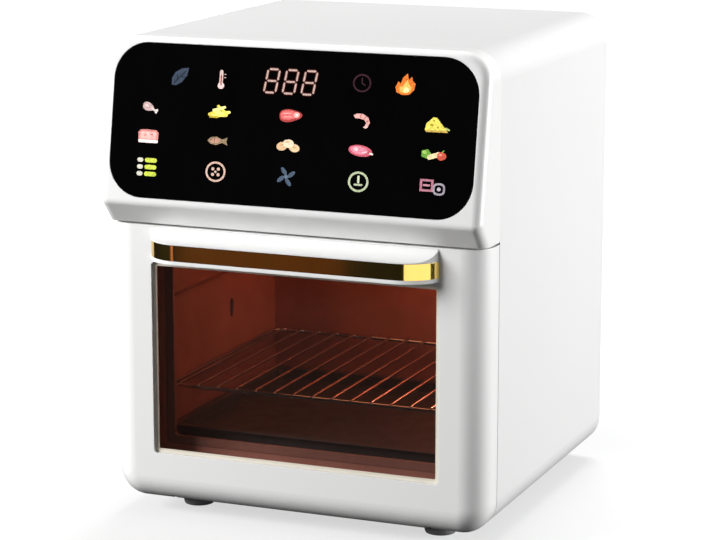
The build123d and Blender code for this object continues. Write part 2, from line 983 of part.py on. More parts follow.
def make_heater_clips():
    """Three hangers from the housing's top that carry the coil's rings."""
    clips = Part()
    z = stack_base + coil_height
    x0 = coil_inner - clip_reach
    x1 = coil_outer + clip_reach
    half = clip_width / 2
    low = z - coil_tube - clip_sheet
    for turn in (0, 180, 270):
        bar = block(x0, x1, -half, half, low, z - coil_tube)
        bar += block(x1, x1 + clip_sheet, -half, half, low, stack_top - stack_sheet)
        clips += Pos(0, fan_y, 0) * Rot(0, 0, turn) * bar
    return clips


def make_heat_shield():
    """Sheet that parts the hot stack from the motor and the boards."""
    x = half_width - wrap_sheet - seat_gap
    y1 = y_rear_panel - wrap_sheet - seat_gap
    shield = block(-x, x, y_cavity, y1, stack_top, shield_top)
    shield -= post(0, fan_y, stack_top, shield_top, shaft_radius + air_gap)
    return shield


def make_motor_bracket():
    """Bridge on the heat shield that carries the motor."""
    x = motor_radius + bracket_margin
    y0 = fan_y - bracket_width / 2
    y1 = fan_y + bracket_width / 2
    bridge = block(-x, x, y0, y1, motor_base - bracket_sheet, motor_base)
    for side in (-1, 1):
        inner = side * (x - bracket_sheet)
        outer = side * (x + bracket_foot)
        edge = side * x
        bridge += block(min(inner, edge), max(inner, edge), y0, y1, shield_top, motor_base)
        bridge += block(min(edge, outer), max(edge, outer), y0, y1, shield_top, shield_top + bracket_sheet)
    bridge -= post(0, fan_y, motor_base - bracket_sheet, motor_base, bush_radius + air_gap)
    return bridge


def make_fan_motor():
    """Motor can with two end walls and bores for the bushes."""
    can = post(0, fan_y, motor_base, motor_top, motor_radius)
    can -= post(0, fan_y, motor_base + motor_end, motor_top - motor_end, rotor_radius + air_gap)
    can -= post(0, fan_y, motor_base, motor_top, bush_radius)
    return can


def make_motor_bushes():
    """Two bronze bushes in the motor's end walls."""
    bushes = Part()
    for z0 in (motor_base, motor_top - motor_end):
        ring = post(0, fan_y, z0, z0 + motor_end, bush_radius)
        ring -= post(0, fan_y, z0, z0 + motor_end, shaft_radius + running_gap)
        bushes += ring
    return bushes


def make_motor_shaft():
    """Long shaft with the rotor core on it."""
    z0 = stack_base + hot_fan_rise - nut_height - shaft_tail
    z1 = motor_top + cool_fan_rise + cool_fan_height + shaft_top
    shaft = post(0, fan_y, z0, z1, shaft_radius)
    shaft += post(
        0, fan_y, motor_base + motor_end + air_gap, motor_top - motor_end - air_gap, rotor_radius
    )
    return shaft


def make_hot_fan():
    """Disc with radial blades bent down, on a hub."""
    z0 = stack_base + hot_fan_rise
    z1 = z0 + hot_fan_height
    fan = Circle(hot_fan_radius)
    fan = Pos(0, fan_y, z1 - blade_thickness) * extrude(fan, blade_thickness)
    hub_radius = shaft_radius + hot_hub_wall
    fan += post(0, fan_y, z0, z1, hub_radius)
    blade = block(
        hub_radius + hot_blade_gap,
        hot_fan_radius - blade_thickness,
        -blade_thickness / 2,
        blade_thickness / 2,
        z0,
        z1,
    )
    for turn in range(hot_fan_blades):
        fan += Pos(0, fan_y, 0) * Rot(0, 0, 360 / hot_fan_blades * turn) * blade
    fan -= post(0, fan_y, z0, z1, shaft_radius)
    return fan


def make_fan_nut():
    """Hexagon nut under the hot fan's hub."""
    z1 = stack_base + hot_fan_rise
    nut = Pos(0, fan_y, z1 - nut_height) * extrude(RegularPolygon(nut_radius, 6), nut_height)
    nut -= post(0, fan_y, z1 - nut_height, z1, shaft_radius)
    return nut


def make_cooling_fan():
    """Pitched blades on a hub above the motor."""
    z0 = motor_top + cool_fan_rise
    z1 = z0 + cool_fan_height
    hub_radius = shaft_radius + cool_hub_wall
    fan = post(0, fan_y, z0, z1, hub_radius)
    length = 2 * (cool_fan_radius - hub_radius)
    blade = Rot(cool_fan_pitch_angle, 0, 0) * Box(length, 3 * cool_fan_height, blade_thickness)
    blade = Pos(hub_radius + length / 2 - blade_thickness, 0, 0) * blade
    blades = Part()
    for turn in range(cool_fan_blades):
        blades += Rot(0, 0, turn * 360 / cool_fan_blades) * blade
    blades &= Cylinder(cool_fan_radius, cool_fan_height)
    fan += Pos(0, fan_y, (z0 + z1) / 2) * blades
    fan -= post(0, fan_y, z0, z1, shaft_radius)
    return fan


def power_standoff_places():
    """Places of the power board's standoffs."""
    margin = board_screw_margin
    xs = (board_x0 + margin, board_x1 - margin)
    ys = (board_y0 + margin, board_y0 + board_length - margin)
    return [(x, y) for x in xs for y in ys]


def upright_part(x, y, width, depth, height):
    """Square component on the power board, from its left front corner."""
    z = shield_top + board_rise + board_thickness
    return block(board_x0 + x, board_x0 + x + width, board_y0 + y, board_y0 + y + depth, z, z + height)


def make_power_board():
    """Circuit board with its capacitor, transformer, relays, heat sink and a module."""
    z0 = shield_top + board_rise
    z1 = z0 + board_thickness
    board = block(board_x0, board_x1, board_y0, board_y0 + board_length, z0, z1)
    near = 2 * capacitor_radius
    board += post(board_x0 + near, board_y0 + near, z1, z1 + capacitor_height, capacitor_radius)
    board += upright_part(
        2 * near, capacitor_radius, transformer_width, transformer_depth, transformer_height
    )
    for step in range(relay_count):
        x = relay_width / 2 + step * relay_pitch
        board += upright_part(x, relay_setback, relay_width, relay_depth, relay_height)
    board += upright_part(relay_width, sink_setback, sink_thickness, sink_length, sink_height)
    board += upright_part(module_width, sink_setback, module_width, relay_depth, module_height)
    for x, y in power_standoff_places():
        board -= post(x, y, z0, z1, screw_radius + running_gap)
    return board


def make_power_standoffs():
    """Four standoffs between the heat shield and the power board."""
    posts = Part()
    for x, y in power_standoff_places():
        posts += post(x, y, shield_top, shield_top + board_rise, standoff_radius)
    return posts


def make_thermal_cutout():
    """Round safety thermostat with two blades on the heat shield."""
    y = fan_y + stack_half_depth - cutout_setback
    top = shield_top + cutout_height
    disc = post(cutout_x, y, shield_top, top, cutout_radius)
    half = blade_width / 2
    for side in (-1, 1):
        x = cutout_x + side * (cutout_radius - half / 2)
        disc += block(x - blade_sheet / 2, x + blade_sheet / 2, y - half, y + half, top, top + half * 2)
    return disc


def head_outline(wall):
    """Side outline of the head, drawn in y and z, moved in by the wall."""
    chin_z = panel_z_bottom - chin_rim * math.cos(lean)
    if wall == 0:
        points = [
            (y_seam, seam_height),
            (y_door, seam_height),
            (front_y(chin_z, 0), chin_z),
            (front_y(body_top, 0), body_top),
            (y_seam, body_top),
        ]
    else:
        low = seam_height + wall
        chin = chin_z + wall / 2
        high = body_top - wall
        depth = panel_thickness + panel_ledge
        points = [
            (y_seam, low),
            (y_door + 1.5 * wall, low),
            (front_y(chin, depth), chin),
            (front_y(high, depth), high),
            (y_seam, high),
        ]
    return make_face(Plane.YZ * Polyline(*points, close=True))


def pocket_plate(width, height, corner, low, depth, thickness):
    """Rounded plate on the leaning panel, from the given depth inwards."""
    outline = RectangleRounded(width, height, corner)
    return on_panel(0, low + height / 2, depth + thickness) * extrude(outline, thickness)


def board_boss_places():
    """Places of the bosses that carry the touch board."""
    u = touch_board_width / 2 - boss_margin
    v0 = panel_height / 2 - touch_board_height / 2 + boss_margin
    v1 = panel_height / 2 + touch_board_height / 2 - boss_margin
    return [(side * u, v) for side in (-1, 1) for v in (v0, panel_height / 2, v1)]


def make_control_head():
    """Moulded head: leaning front, receding chin, rounded edges, hollow behind, with the panel pocket."""
    solid = extrude(head_outline(0), half_width, both=True)
    chin_edges = solid.edges().filter_by(Axis.X).sort_by(Axis.Y)[0]
    solid = fillet(chin_edges, chin_radius)
    front = front_slab(
        half_width,
        seam_height - 2 * corner_radius,
        body_top,
        corner_radius,
        y_seam - 2 * head_depth,
        y_seam,
    )
    solid = solid & front
    behind = y_seam - pick_margin
    edges = solid.edges().filter_by(lambda edge: edge.center().Y < behind)
    edges = edges.filter_by(lambda edge: abs(edge.center().X) > half_width - corner_radius or
                            edge.center().Z > body_top - pick_margin)
    edges = edges.filter_by(lambda edge: edge.center().Z > seam_height + pick_margin)
    edges = edges.filter_by(lambda edge: abs(edge.tangent_at(0.5).Y) < 0.9)
    solid = fillet(edges, head_edge_radius)
    hollow = extrude(head_outline(head_wall), half_width - head_side_wall, both=True)
    hollow &= front_slab(
        half_width - head_side_wall,
        seam_height - 2 * corner_radius,
        body_top - head_wall,
        corner_radius - head_side_wall,
        y_seam - 2 * head_depth,
        y_seam,
    )
    solid -= hollow
    grow = 2 * panel_gap
    solid -= pocket_plate(
        panel_width + grow, panel_height + grow, panel_corner + panel_gap, -panel_gap, 0, panel_thickness
    )
    low = (panel_height - board_opening_height) / 2
    solid -= pocket_plate(
        board_opening_width,
        board_opening_height,
        panel_corner / 2,
        low,
        panel_thickness,
        2 * panel_ledge,
    )
    back = board_depth
    for u, v in board_boss_places():
        boss = on_panel(u, v, back) * Cylinder(
            boss_radius,
            back - panel_thickness - panel_ledge / 2,
            align=(Align.CENTER, Align.CENTER, Align.MIN),
        )
        hole = on_panel(u, v, back) * Cylinder(
            screw_radius + running_gap,
            boss_hole_depth,
            align=(Align.CENTER, Align.CENTER, Align.MIN),
        )
        solid += boss
        solid -= hole
    return solid


def make_panel_glass():
    """Black touch glass with large round corners."""
    return pocket_plate(panel_width, panel_height, panel_corner, 0, 0, panel_thickness)


def make_touch_board():
    """Long circuit board behind the panel glass."""
    low = (panel_height - touch_board_height) / 2
    board = pocket_plate(
        touch_board_width, touch_board_height, touch_board_corner, low, board_depth, board_thickness
    )
    for u, v in board_boss_places():
        board -= on_panel(u, v, board_depth + board_thickness) * Cylinder(
            screw_radius + running_gap, board_thickness, align=(Align.CENTER, Align.CENTER, Align.MIN)
        )
    return board


def make_board_screws():
    """Screws of the touch board, from behind into its bosses, and of the power board."""
    screws = Part()
    back = board_depth + board_thickness
    up = (Align.CENTER, Align.CENTER, Align.MIN)
    for u, v in board_boss_places():
        screws += on_panel(u, v, back) * Cylinder(
            screw_radius, board_thickness + touch_screw_reach, align=up
        )
        screws += on_panel(u, v, back + screw_head_height) * Cylinder(
            screw_head, screw_head_height, align=up
        )
    z1 = shield_top + board_rise + board_thickness
    for x, y in power_standoff_places():
        screws += post(x, y, z1, z1 + screw_head_height, screw_head)
        screws += post(x, y, z1 - board_thickness, z1, screw_radius)
    return screws


def pad_places():
    """Places of the touch pads: three rows of five, and four beside the digits."""
    columns = range(-2, 3)
    places = [
        (column * pad_column_pitch, first_row_height + row * pad_row_pitch)
        for row in range(3)
        for column in columns
    ]
    edge = 2 * pad_column_pitch - edge_pad_inset
    places += [(u, digit_row) for u in (-edge, -pad_column_pitch, pad_column_pitch, edge)]
    return places


def make_touch_pads():
    """Conductive pads between the glass and the touch board."""
    pads = Part()
    for u, v in pad_places():
        pads += on_panel(u, v, board_depth) * Cylinder(
            pad_radius, board_depth - panel_thickness, align=(Align.CENTER, Align.CENTER, Align.MIN)
        )
    return pads


def make_display_module():
    """Block of three lit digits behind the glass."""
    height = board_depth - panel_thickness
    return on_panel(0, digit_row, board_depth) * Box(
        digit_width, digit_height, height, align=(Align.CENTER, Align.CENTER, Align.MIN)
    )


def door_form(inset):
    """Slab with round lower corners and rounded front edges, set in from the door's outside."""
    radius = corner_radius - inset
    solid = front_slab(
        half_width - inset, door_bottom + inset, door_top + 2 * radius, radius, y_door + inset, y_door_back
    )
    solid -= block(
        -half_width, half_width, y_door, y_door_back, door_top, door_top + 3 * corner_radius
    )
    front_face = solid.faces().sort_by(Axis.Y)[0]
    front_edges = front_face.edges().filter_by(lambda edge: edge.center().Z < door_top - pick_margin)
    return fillet(front_edges, door_edge_radius - inset)


def door_side_view():
    """Side view of the door drawn out over its width, with the lower back edge round about the hinge."""
    radius = y_door_back - hinge_y
    heel_low = (hinge_y, door_bottom)
    heel_middle = (hinge_y + radius * math.sqrt(0.5), hinge_z - radius * math.sqrt(0.5))
    heel_high = (y_door_back, hinge_z)
    edges = [
        ThreePointArc(heel_low, heel_middle, heel_high),
        Line(heel_high, (y_door_back, door_top)),
        Line((y_door_back, door_top), (y_door, door_top)),
        Line((y_door, door_top), (y_door, door_bottom)),
        Line((y_door, door_bottom), heel_low),
    ]
    return extrude(make_face(Plane.YZ * Wire(edges)), half_width, both=True)


def hinge_slot(side):
    """Space in the door for one hinge arm over the whole swing."""
    x = side * hinge_offset
    half = hinge_arm / 2 + hinge_side_gap
    reach = hinge_arm_half_height + hinge_swing_gap
    low = door_bottom - hinge_swing_gap
    return block(x - half, x + half, hinge_y - reach, y_seam, low, hinge_z + reach)


def make_door_frame():
    """White moulded door: skin, window opening, hollow back and solid hinge ends."""
    frame = door_form(0) & door_side_view()
    hollow_half = half_width - door_side_wall
    hollow_low = door_bottom + door_hollow_floor
    hollow_high = door_top - door_wall
    hollow = front_slab(
        hollow_half, hollow_low, hollow_high, door_wall, y_door + door_wall, y_door_back
    )
    frame -= hollow & door_form(door_wall)
    window_half = window_width / 2
    frame -= front_slab(
        window_half, window_bottom, window_top, window_corner, y_door, y_door + door_wall
    )
    rim = glass_overlap + glass_collar
    collar = front_slab(
        window_half + rim,
        window_bottom - rim,
        window_top + rim,
        window_corner,
        y_door + door_wall,
        y_door + door_wall + glass_thickness,
    )
    collar -= front_slab(
        window_half + glass_overlap + seat_gap,
        window_bottom - glass_overlap - seat_gap,
        window_top + glass_overlap + seat_gap,
        window_corner,
        y_door + door_wall,
        y_door + door_wall + glass_thickness,
    )
    frame += collar
    for x, z in door_screw_places():
        y1 = y_door_back - inner_plate
        y0 = y1 - door_screw_reach - screw_end_gap
        pillar = deep_rod(x, y_door + door_wall, y1, z, pillar_radius)
        pillar -= deep_rod(x, y0, y1, z, screw_radius + running_gap)
        frame += pillar
    for x, z in handle_screw_places():
        frame -= deep_rod(x, y_door, y_door + door_wall, z, screw_radius + running_gap)
    for side in (-1, 1):
        frame -= hinge_slot(side)
        x = side * hinge_offset
        reach = hinge_block_half
        frame -= cross_rod(x - reach, x + reach, hinge_y, hinge_z, hinge_bush_radius)
    return frame


def door_screw_places():
    """Places of the screws that hold the inner plate to the door frame."""
    x = half_width - door_screw_side
    low = door_bottom + door_hollow_floor + door_screw_margin
    high = door_top - door_wall - door_screw_margin
    return [(side * x, z) for side in (-1, 1) for z in (low, (low + high) / 2, high)]


def make_outer_glass():
    """Front pane behind the window opening."""
    return front_slab(
        window_width / 2 + glass_overlap,
        window_bottom - glass_overlap,
        window_top + glass_overlap,
        window_corner,
        y_door + door_wall,
        y_door + door_wall + glass_thickness,
    )


def make_window_trim():
    """Thin bright frame on the pane, inside the opening."""
    half = window_width / 2 - seat_gap
    low = window_bottom + seat_gap
    high = window_top - seat_gap
    y1 = y_door + door_wall
    trim = front_slab(half, low, high, window_corner, y1 - trim_thickness, y1)
    trim -= front_slab(
        half - trim_width,
        low + trim_width,
        high - trim_width,
        window_corner / 2,
        y1 - trim_thickness,
        y1,
    )
    return trim


def seal_ring(grow, y0, y1):
    """Ring round the oven mouth on the door's inner plate, grown on both sides."""
    half = cavity_half_width + seal_outset
    low = cavity_floor - seal_outset
    high = cavity_ceiling + seal_outset
    ring = front_slab(
        half + seal_width / 2 + grow,
        low - seal_width / 2 - grow,
        high + seal_width / 2 + grow,
        cavity_corner + seal_width / 2,
        y0,
        y1,
    )
    ring -= front_slab(
        half - seal_width / 2 - grow,
        low + seal_width / 2 + grow,
        high - seal_width / 2 - grow,
        cavity_corner,
        y0,
        y1,
    )
    return ring


def make_inner_plate():
    """Sheet that closes the door's back and holds the inner pane and the seal."""
    half = half_width - door_side_wall - seat_gap
    low = door_bottom + door_hollow_floor + seat_gap
    high = door_top - door_wall - seat_gap
    y0 = y_door_back - inner_plate
    plate = front_slab(half, low, high, door_wall - seat_gap, y0, y_door_back)
    plate -= front_slab(
        inner_window_width / 2, inner_window_bottom, inner_window_top, window_corner, y0, y_door_back
    )
    plate -= seal_ring(seat_gap / 2, y_door_back - seal_groove, y_door_back)
    for x, z in door_screw_places():
        plate -= deep_rod(x, y0, y_door_back, z, screw_radius + running_gap)
        plate -= deep_rod(x, y_door_back - screw_head_height, y_door_back, z, screw_head + seat_gap)
    for side in (-1, 1):
        plate -= striker_box(side, seat_gap / 2)
    return plate


def striker_box(side, grow):
    """Space of one striker plate, flush in the inner plate."""
    x = side * catch_x
    return block(
        x - magnet_width / 2 - grow,
        x + magnet_width / 2 + grow,
        y_door_back - striker_thickness,
        y_door_back,
        catch_height - magnet_length / 2 - grow,
        catch_height + magnet_length / 2 + grow,
    )


def make_striker_plates():
    """Two steel plates that the door magnets hold."""
    return striker_box(-1, 0) + striker_box(1, 0)


def make_inner_glass():
    """Rear pane against the inner plate."""
    y1 = y_door_back - inner_plate
    return front_slab(
        inner_window_width / 2 + glass_overlap,
        inner_window_bottom - glass_overlap,
        inner_window_top + glass_overlap,
        window_corner,
        y1 - glass_thickness,
        y1,
    )


def make_door_seal():
    """Silicone ring in the inner plate's groove, just short of the front frame."""
    y0 = y_door_back - seal_groove
    return seal_ring(0, y0, y0 + seal_height)


def handle_screw_places():
    """Places of the screws that hold the ledge from inside the door."""
    z = (handle_bottom + recess_depth + handle_top) / 2
    return [(side * handle_length / 4, z) for side in (-1, 1)]


def make_door_screws():
    """Sunk screws through the inner plate, and the handle's screws inside the door."""
    screws = Part()
    for x, z in handle_screw_places():
        y1 = y_door + door_wall
        screws += deep_rod(x, y1, y1 + screw_head_height, z, screw_head)
        screws += deep_rod(x, y_door - handle_screw_reach, y1, z, screw_radius)
    for x, z in door_screw_places():
        y1 = y_door_back
        screws += deep_rod(x, y1 - screw_head_height, y1, z, screw_head)
        y0 = y1 - inner_plate - door_screw_reach
        screws += deep_rod(x, y0, y1 - screw_head_height, z, screw_radius)
    return screws


def handle_plan(inset, z0, z1):
    """Plan form of the handle: straight front, ends swept back to the door face on tangent arcs."""
    straight = handle_straight / 2
    end = handle_length / 2
    run = end - straight
    radius = (run * run + handle_reach * handle_reach) / (2 * handle_reach)
    sweep_angle = math.degrees(math.asin(run / radius))
    centre_y = y_handle + radius
    inner = radius - inset
    reach = math.degrees(math.acos((centre_y - y_door) / inner))
    reach = min(reach, sweep_angle)
    right = CenterArc((straight, centre_y, 0), inner, 270, reach)
    left = CenterArc((-straight, centre_y, 0), inner, 270 - reach, reach)
    front = Line((-straight, y_handle + inset, 0), (straight, y_handle + inset, 0))
    back = Line(right @ 1, left @ 0)
    face = make_face(Wire([left, front, right, back]))
    plan = Pos(0, 0, z0) * extrude(face, z1 - z0, dir=(0, 0, 1))
    return plan


def make_handle_ledge():
    """White ledge with a hollow sweep on top, a groove for the strip and a finger recess below."""
    profile_end = (y_handle, handle_top)
    profile_start = (y_door, handle_blend_top)
    dip = (
        (y_door + y_handle) / 2 + blend_dip_back,
        (handle_top + handle_blend_top) / 2 - blend_dip_down,
    )
    curve = ThreePointArc(profile_start, dip, profile_end)
    edges = [
        curve,
        Line(profile_end, (y_handle, handle_bottom)),
        Line((y_handle, handle_bottom), (y_door, handle_bottom)),
        Line((y_door, handle_bottom), profile_start),
    ]
    section = make_face(Plane.YZ * Wire(edges))
    body = extrude(section, handle_length / 2, both=True)
    ledge = body & handle_plan(0, handle_bottom, handle_blend_top)
    strip_top = handle_top - strip_drop
    groove = handle_plan(0, strip_top - strip_height, strip_top)
    groove -= handle_plan(strip_thickness, strip_top - strip_height, strip_top)
    ledge -= groove
    ledge -= block(
        -recess_length / 2,
        recess_length / 2,
        y_handle + recess_lip,
        y_door - strip_thickness,
        handle_bottom,
        handle_bottom + recess_depth,
    )
    for x, z in handle_screw_places():
        y0 = y_door - handle_screw_reach
        ledge -= deep_rod(x, y0, y_door, z, screw_radius + running_gap)
    return ledge


def make_handle_strip():
    """Gold plated strip round the front and the ends of the ledge."""
    strip_top = handle_top - strip_drop
    strip = handle_plan(0, strip_top - strip_height, strip_top)
    strip -= handle_plan(strip_thickness, strip_top - strip_height, strip_top)
    return strip


def make_hinge_brackets():
    """Two arms from the base pan through the front frame into the door."""
    brackets = Part()
    y_arm_end = y_cavity + hinge_arm_length
    for side in (-1, 1):
        x = side * hinge_offset
        half = hinge_arm / 2
        low = hinge_z - hinge_arm_half_height
        high = hinge_z + hinge_arm_half_height
        arm = block(x - half, x + half, hinge_y, y_arm_end, low, high)
        arm += cross_rod(x - half, x + half, hinge_y, hinge_z, hinge_arm_half_height)
        arm += block(x - half, x + half, y_cavity + seat_gap, y_arm_end, pan_top, high)
        arm += block(
            min(x, x + side * hinge_foot),
            max(x, x + side * hinge_foot),
            y_cavity + seat_gap,
            y_arm_end,
            pan_top,
            pan_top + bracket_sheet,
        )
        arm -= cross_rod(x - half, x + half, hinge_y, hinge_z, hinge_pin_radius)
        brackets += arm
    return brackets


def make_hinge_pins():
    """One steel pin through each arm."""
    pins = Part()
    for side in (-1, 1):
        x = side * hinge_offset
        reach = hinge_block_half - hinge_pin_setback
        pins += cross_rod(x - reach, x + reach, hinge_y, hinge_z, hinge_pin_radius)
    return pins


def make_hinge_bushes():
    """Sleeves in the door on both sides of each arm."""
    bushes = Part()
    for side in (-1, 1):
        x = side * hinge_offset
        inner = hinge_arm / 2 + hinge_side_gap
        for x0, x1 in ((x - hinge_block_half, x - inner), (x + inner, x + hinge_block_half)):
            ring = cross_rod(x0, x1, hinge_y, hinge_z, hinge_bush_radius)
            ring -= cross_rod(x0, x1, hinge_y, hinge_z, hinge_pin_radius + running_gap)
            bushes += ring
    return bushes


def make_wire_rack():
    """Wire rack: a rectangular frame and bars welded on top of it."""
    half = cavity_half_width - rack_side_gap
    z = rail_tops[1] + rail_gap + rack_wire
    y0 = y_cavity + rack_end_gap
    y1 = y_cavity_back - rack_end_gap
    rack = cross_rod(-half, half, y0 + rack_wire, z, rack_wire)
    rack += cross_rod(-half, half, y1 - rack_wire, z, rack_wire)
    rack += deep_rod(half - rack_wire, y0, y1, z, rack_wire)
    rack += deep_rod(rack_wire - half, y0, y1, z, rack_wire)
    inner = cavity_half_width - rail_reach - rack_bar_margin
    pitch = 2 * inner / (rack_bars - 1)
    for bar in range(rack_bars):
        x = bar * pitch - inner
        rack += deep_rod(x, y0 + rack_wire, y1 - rack_wire, z + rack_wire, rack_bar)
    return rack


def make_drip_tray():
    """Shallow tray whose side lips lie on the lowest rails."""
    half = cavity_half_width - rack_side_gap
    inner = cavity_half_width - rail_reach - rack_side_gap
    y0 = y_cavity + rack_end_gap
    y1 = y_cavity_back - rack_end_gap
    top = rail_tops[0] + rail_gap
    tray = block(-half, half, y0, y1, top, top + tray_sheet)
    tray += front_to_back_tub(inner, y0 + tray_lip, y1 - tray_lip, top - tray_drop, top)
    tray -= front_to_back_tub(
        inner - tray_sheet,
        y0 + tray_lip + tray_sheet,
        y1 - tray_lip - tray_sheet,
        top - tray_drop + tray_sheet,
        top + tray_sheet,
    )
    return tray


def front_to_back_tub(half, y0, y1, z0, z1):
    """Upright block with round corners seen from above."""
    outline = Pos(0, (y0 + y1) / 2) * RectangleRounded(2 * half, y1 - y0, cavity_corner)
    return Pos(0, 0, z0) * extrude(outline, z1 - z0)


def make_ribbon_cable():
    """Flat lead from the touch board's back, through the front frame, to the power board."""
    x1 = board_x1 - 2 * boss_radius - screw_head
    z_touch = panel_z_bottom + panel_height / 2 * math.cos(lean)
    y_touch = front_y(z_touch, board_depth + board_thickness)
    z_board = shield_top + board_rise + board_thickness + ribbon_thickness / 2
    y_drop = y_seam - ribbon_bend
    points = [
        (y_touch + ribbon_thickness / 4, z_touch),
        (y_drop, z_touch),
        (y_drop, z_board),
        (board_y0 + ribbon_bend, z_board),
    ]
    bend = min(ribbon_bend, abs(z_touch - z_board) / 3)
    path = Plane.YZ * FilletPolyline(*points, radius=bend)
    start = Plane(origin=path @ 0, z_dir=path % 0, x_dir=(1, 0, 0))
    band = sweep(start * Rectangle(ribbon_width, ribbon_thickness), path)
    return Pos(x1 - ribbon_width / 2, 0, 0) * band.solids()[0]


NODES = {
    "outer_wrap": make_outer_wrap,
    "base_pan": make_base_pan,
    "rubber_feet": make_feet,
    "housing_screws": make_housing_screws,
    "rear_panel": make_rear_panel,
    "exhaust_grille": make_exhaust_grille,
    "cord_bushing": make_cord_bushing,
    "terminal_block": make_terminal_block,
    "front_frame": make_front_frame,
    "door_magnets": make_door_magnets,
    "door_switch": make_door_switch,
    "switch_plunger": make_switch_plunger,
    "oven_cavity": make_oven_cavity,
    "rack_rails": make_rack_rails,
    "spit_support": make_spit_support,
    "rotisserie_motor": make_rotisserie_motor,
    "drive_socket": make_drive_socket,
    "lamp_lens": make_lamp_lens,
    "lamp_housing": make_lamp_housing,
    "lamp_bulb": make_lamp_bulb,
    "temperature_probe": make_temperature_probe,
    "fan_guard": make_fan_guard,
    "guard_screws": make_guard_screws,
    "heater_housing": make_heater_housing,
    "heater_coil": make_heater_coil,
    "heater_terminals": make_heater_terminals,
    "heater_clips": make_heater_clips,
    "heat_shield": make_heat_shield,
    "motor_bracket": make_motor_bracket,
    "fan_motor": make_fan_motor,
    "motor_bushes": make_motor_bushes,
    "motor_shaft": make_motor_shaft,
    "hot_fan": make_hot_fan,
    "fan_nut": make_fan_nut,
    "cooling_fan": make_cooling_fan,
    "power_board": make_power_board,
    "power_standoffs": make_power_standoffs,
    "ribbon_cable": make_ribbon_cable,
    "thermal_cutout": make_thermal_cutout,
    "control_head": make_control_head,
    "panel_glass": make_panel_glass,
    "touch_board": make_touch_board,
    "board_screws": make_board_screws,
    "touch_pads": make_touch_pads,
    "display_module": make_display_module,
    "door_frame": make_door_frame,
    "outer_glass": make_outer_glass,
    "window_trim": make_window_trim,
    "inner_plate": make_inner_plate,
    "inner_glass": make_inner_glass,
    "door_seal": make_door_seal,
    "door_screws": make_door_screws,
    "striker_plates": make_striker_plates,
    "handle_ledge": make_handle_ledge,
    "handle_strip": make_handle_strip,
    "hinge_brackets": make_hinge_brackets,
    "hinge_pins": make_hinge_pins,
    "hinge_bushes": make_hinge_bushes,
    "wire_rack": make_wire_rack,
    "drip_tray": make_drip_tray,
}

os.makedirs("parts", exist_ok=True)
for name, make in NODES.items():
    export_step(make(), f"parts/{name}.step")
print(len(NODES), "nodes")
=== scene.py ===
# %% [markdown]
# # Dressing a white air fryer oven
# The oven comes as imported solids: every sheet, pane and screw is to size and in place.
# Blender adds what solids leave out: what each thing is made of, the lit keys behind the touch glass,
# the round wires of the rack, the light in the cavity and the studio around it.
# The start scene's own objects are taken away, so that only the oven is left.

# %% Load the oven
import json
import math

import bmesh
import bpy
import numpy as np
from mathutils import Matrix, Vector

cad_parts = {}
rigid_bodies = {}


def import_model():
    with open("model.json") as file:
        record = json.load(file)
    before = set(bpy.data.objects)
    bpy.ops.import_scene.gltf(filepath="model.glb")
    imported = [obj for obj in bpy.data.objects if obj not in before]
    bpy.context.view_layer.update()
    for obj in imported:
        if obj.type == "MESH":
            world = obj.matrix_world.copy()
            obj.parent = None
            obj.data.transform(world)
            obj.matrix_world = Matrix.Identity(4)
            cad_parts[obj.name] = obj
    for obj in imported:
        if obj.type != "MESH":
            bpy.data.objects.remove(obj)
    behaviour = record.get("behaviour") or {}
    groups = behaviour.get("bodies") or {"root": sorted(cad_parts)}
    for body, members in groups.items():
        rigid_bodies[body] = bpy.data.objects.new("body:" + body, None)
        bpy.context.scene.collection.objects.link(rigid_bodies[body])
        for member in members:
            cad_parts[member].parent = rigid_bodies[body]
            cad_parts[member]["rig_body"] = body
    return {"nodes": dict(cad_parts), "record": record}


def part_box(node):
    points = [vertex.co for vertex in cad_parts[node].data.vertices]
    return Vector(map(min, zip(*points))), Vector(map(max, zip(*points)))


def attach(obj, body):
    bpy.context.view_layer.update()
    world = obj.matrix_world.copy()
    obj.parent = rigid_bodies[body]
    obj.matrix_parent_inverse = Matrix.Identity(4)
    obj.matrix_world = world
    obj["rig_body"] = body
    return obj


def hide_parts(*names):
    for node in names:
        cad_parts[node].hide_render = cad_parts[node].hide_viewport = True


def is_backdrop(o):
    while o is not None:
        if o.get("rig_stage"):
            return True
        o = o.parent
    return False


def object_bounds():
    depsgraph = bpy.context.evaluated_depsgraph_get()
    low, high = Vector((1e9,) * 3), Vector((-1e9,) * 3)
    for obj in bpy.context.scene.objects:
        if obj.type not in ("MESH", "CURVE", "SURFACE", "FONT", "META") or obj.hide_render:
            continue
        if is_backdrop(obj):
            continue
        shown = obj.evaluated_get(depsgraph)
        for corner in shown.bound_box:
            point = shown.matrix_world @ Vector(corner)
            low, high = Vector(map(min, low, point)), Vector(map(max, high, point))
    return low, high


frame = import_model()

for leftover in list(bpy.data.objects):
    if leftover.type in ("CAMERA", "LIGHT") or leftover.name == "Cube":
        bpy.data.objects.remove(leftover)
cad_box = [list(corner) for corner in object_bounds()]
parts = frame["nodes"]

# %% [markdown]
# ## Tools for finishes
# A finish is a small net of shader nodes. Writing one by hand takes three steps again and again:
# make a node, set its numbers and link its sockets. One helper does all three, so that each finish
# reads as a short list of what the surface is like. Screen colours are turned into light values,
# because a shader reckons in light.

# %% Colours and nodes
MM = 0.001


def screen(red, green, blue):
    """Light values of a colour that is given as it looks on a screen, 0 to 255."""
    values = []
    for part in (red, green, blue):
        share = part / 255
        values.append(share / 12.92 if share <= 0.04045 else ((share + 0.055) / 1.055) ** 2.4)
    return (*values, 1.0)


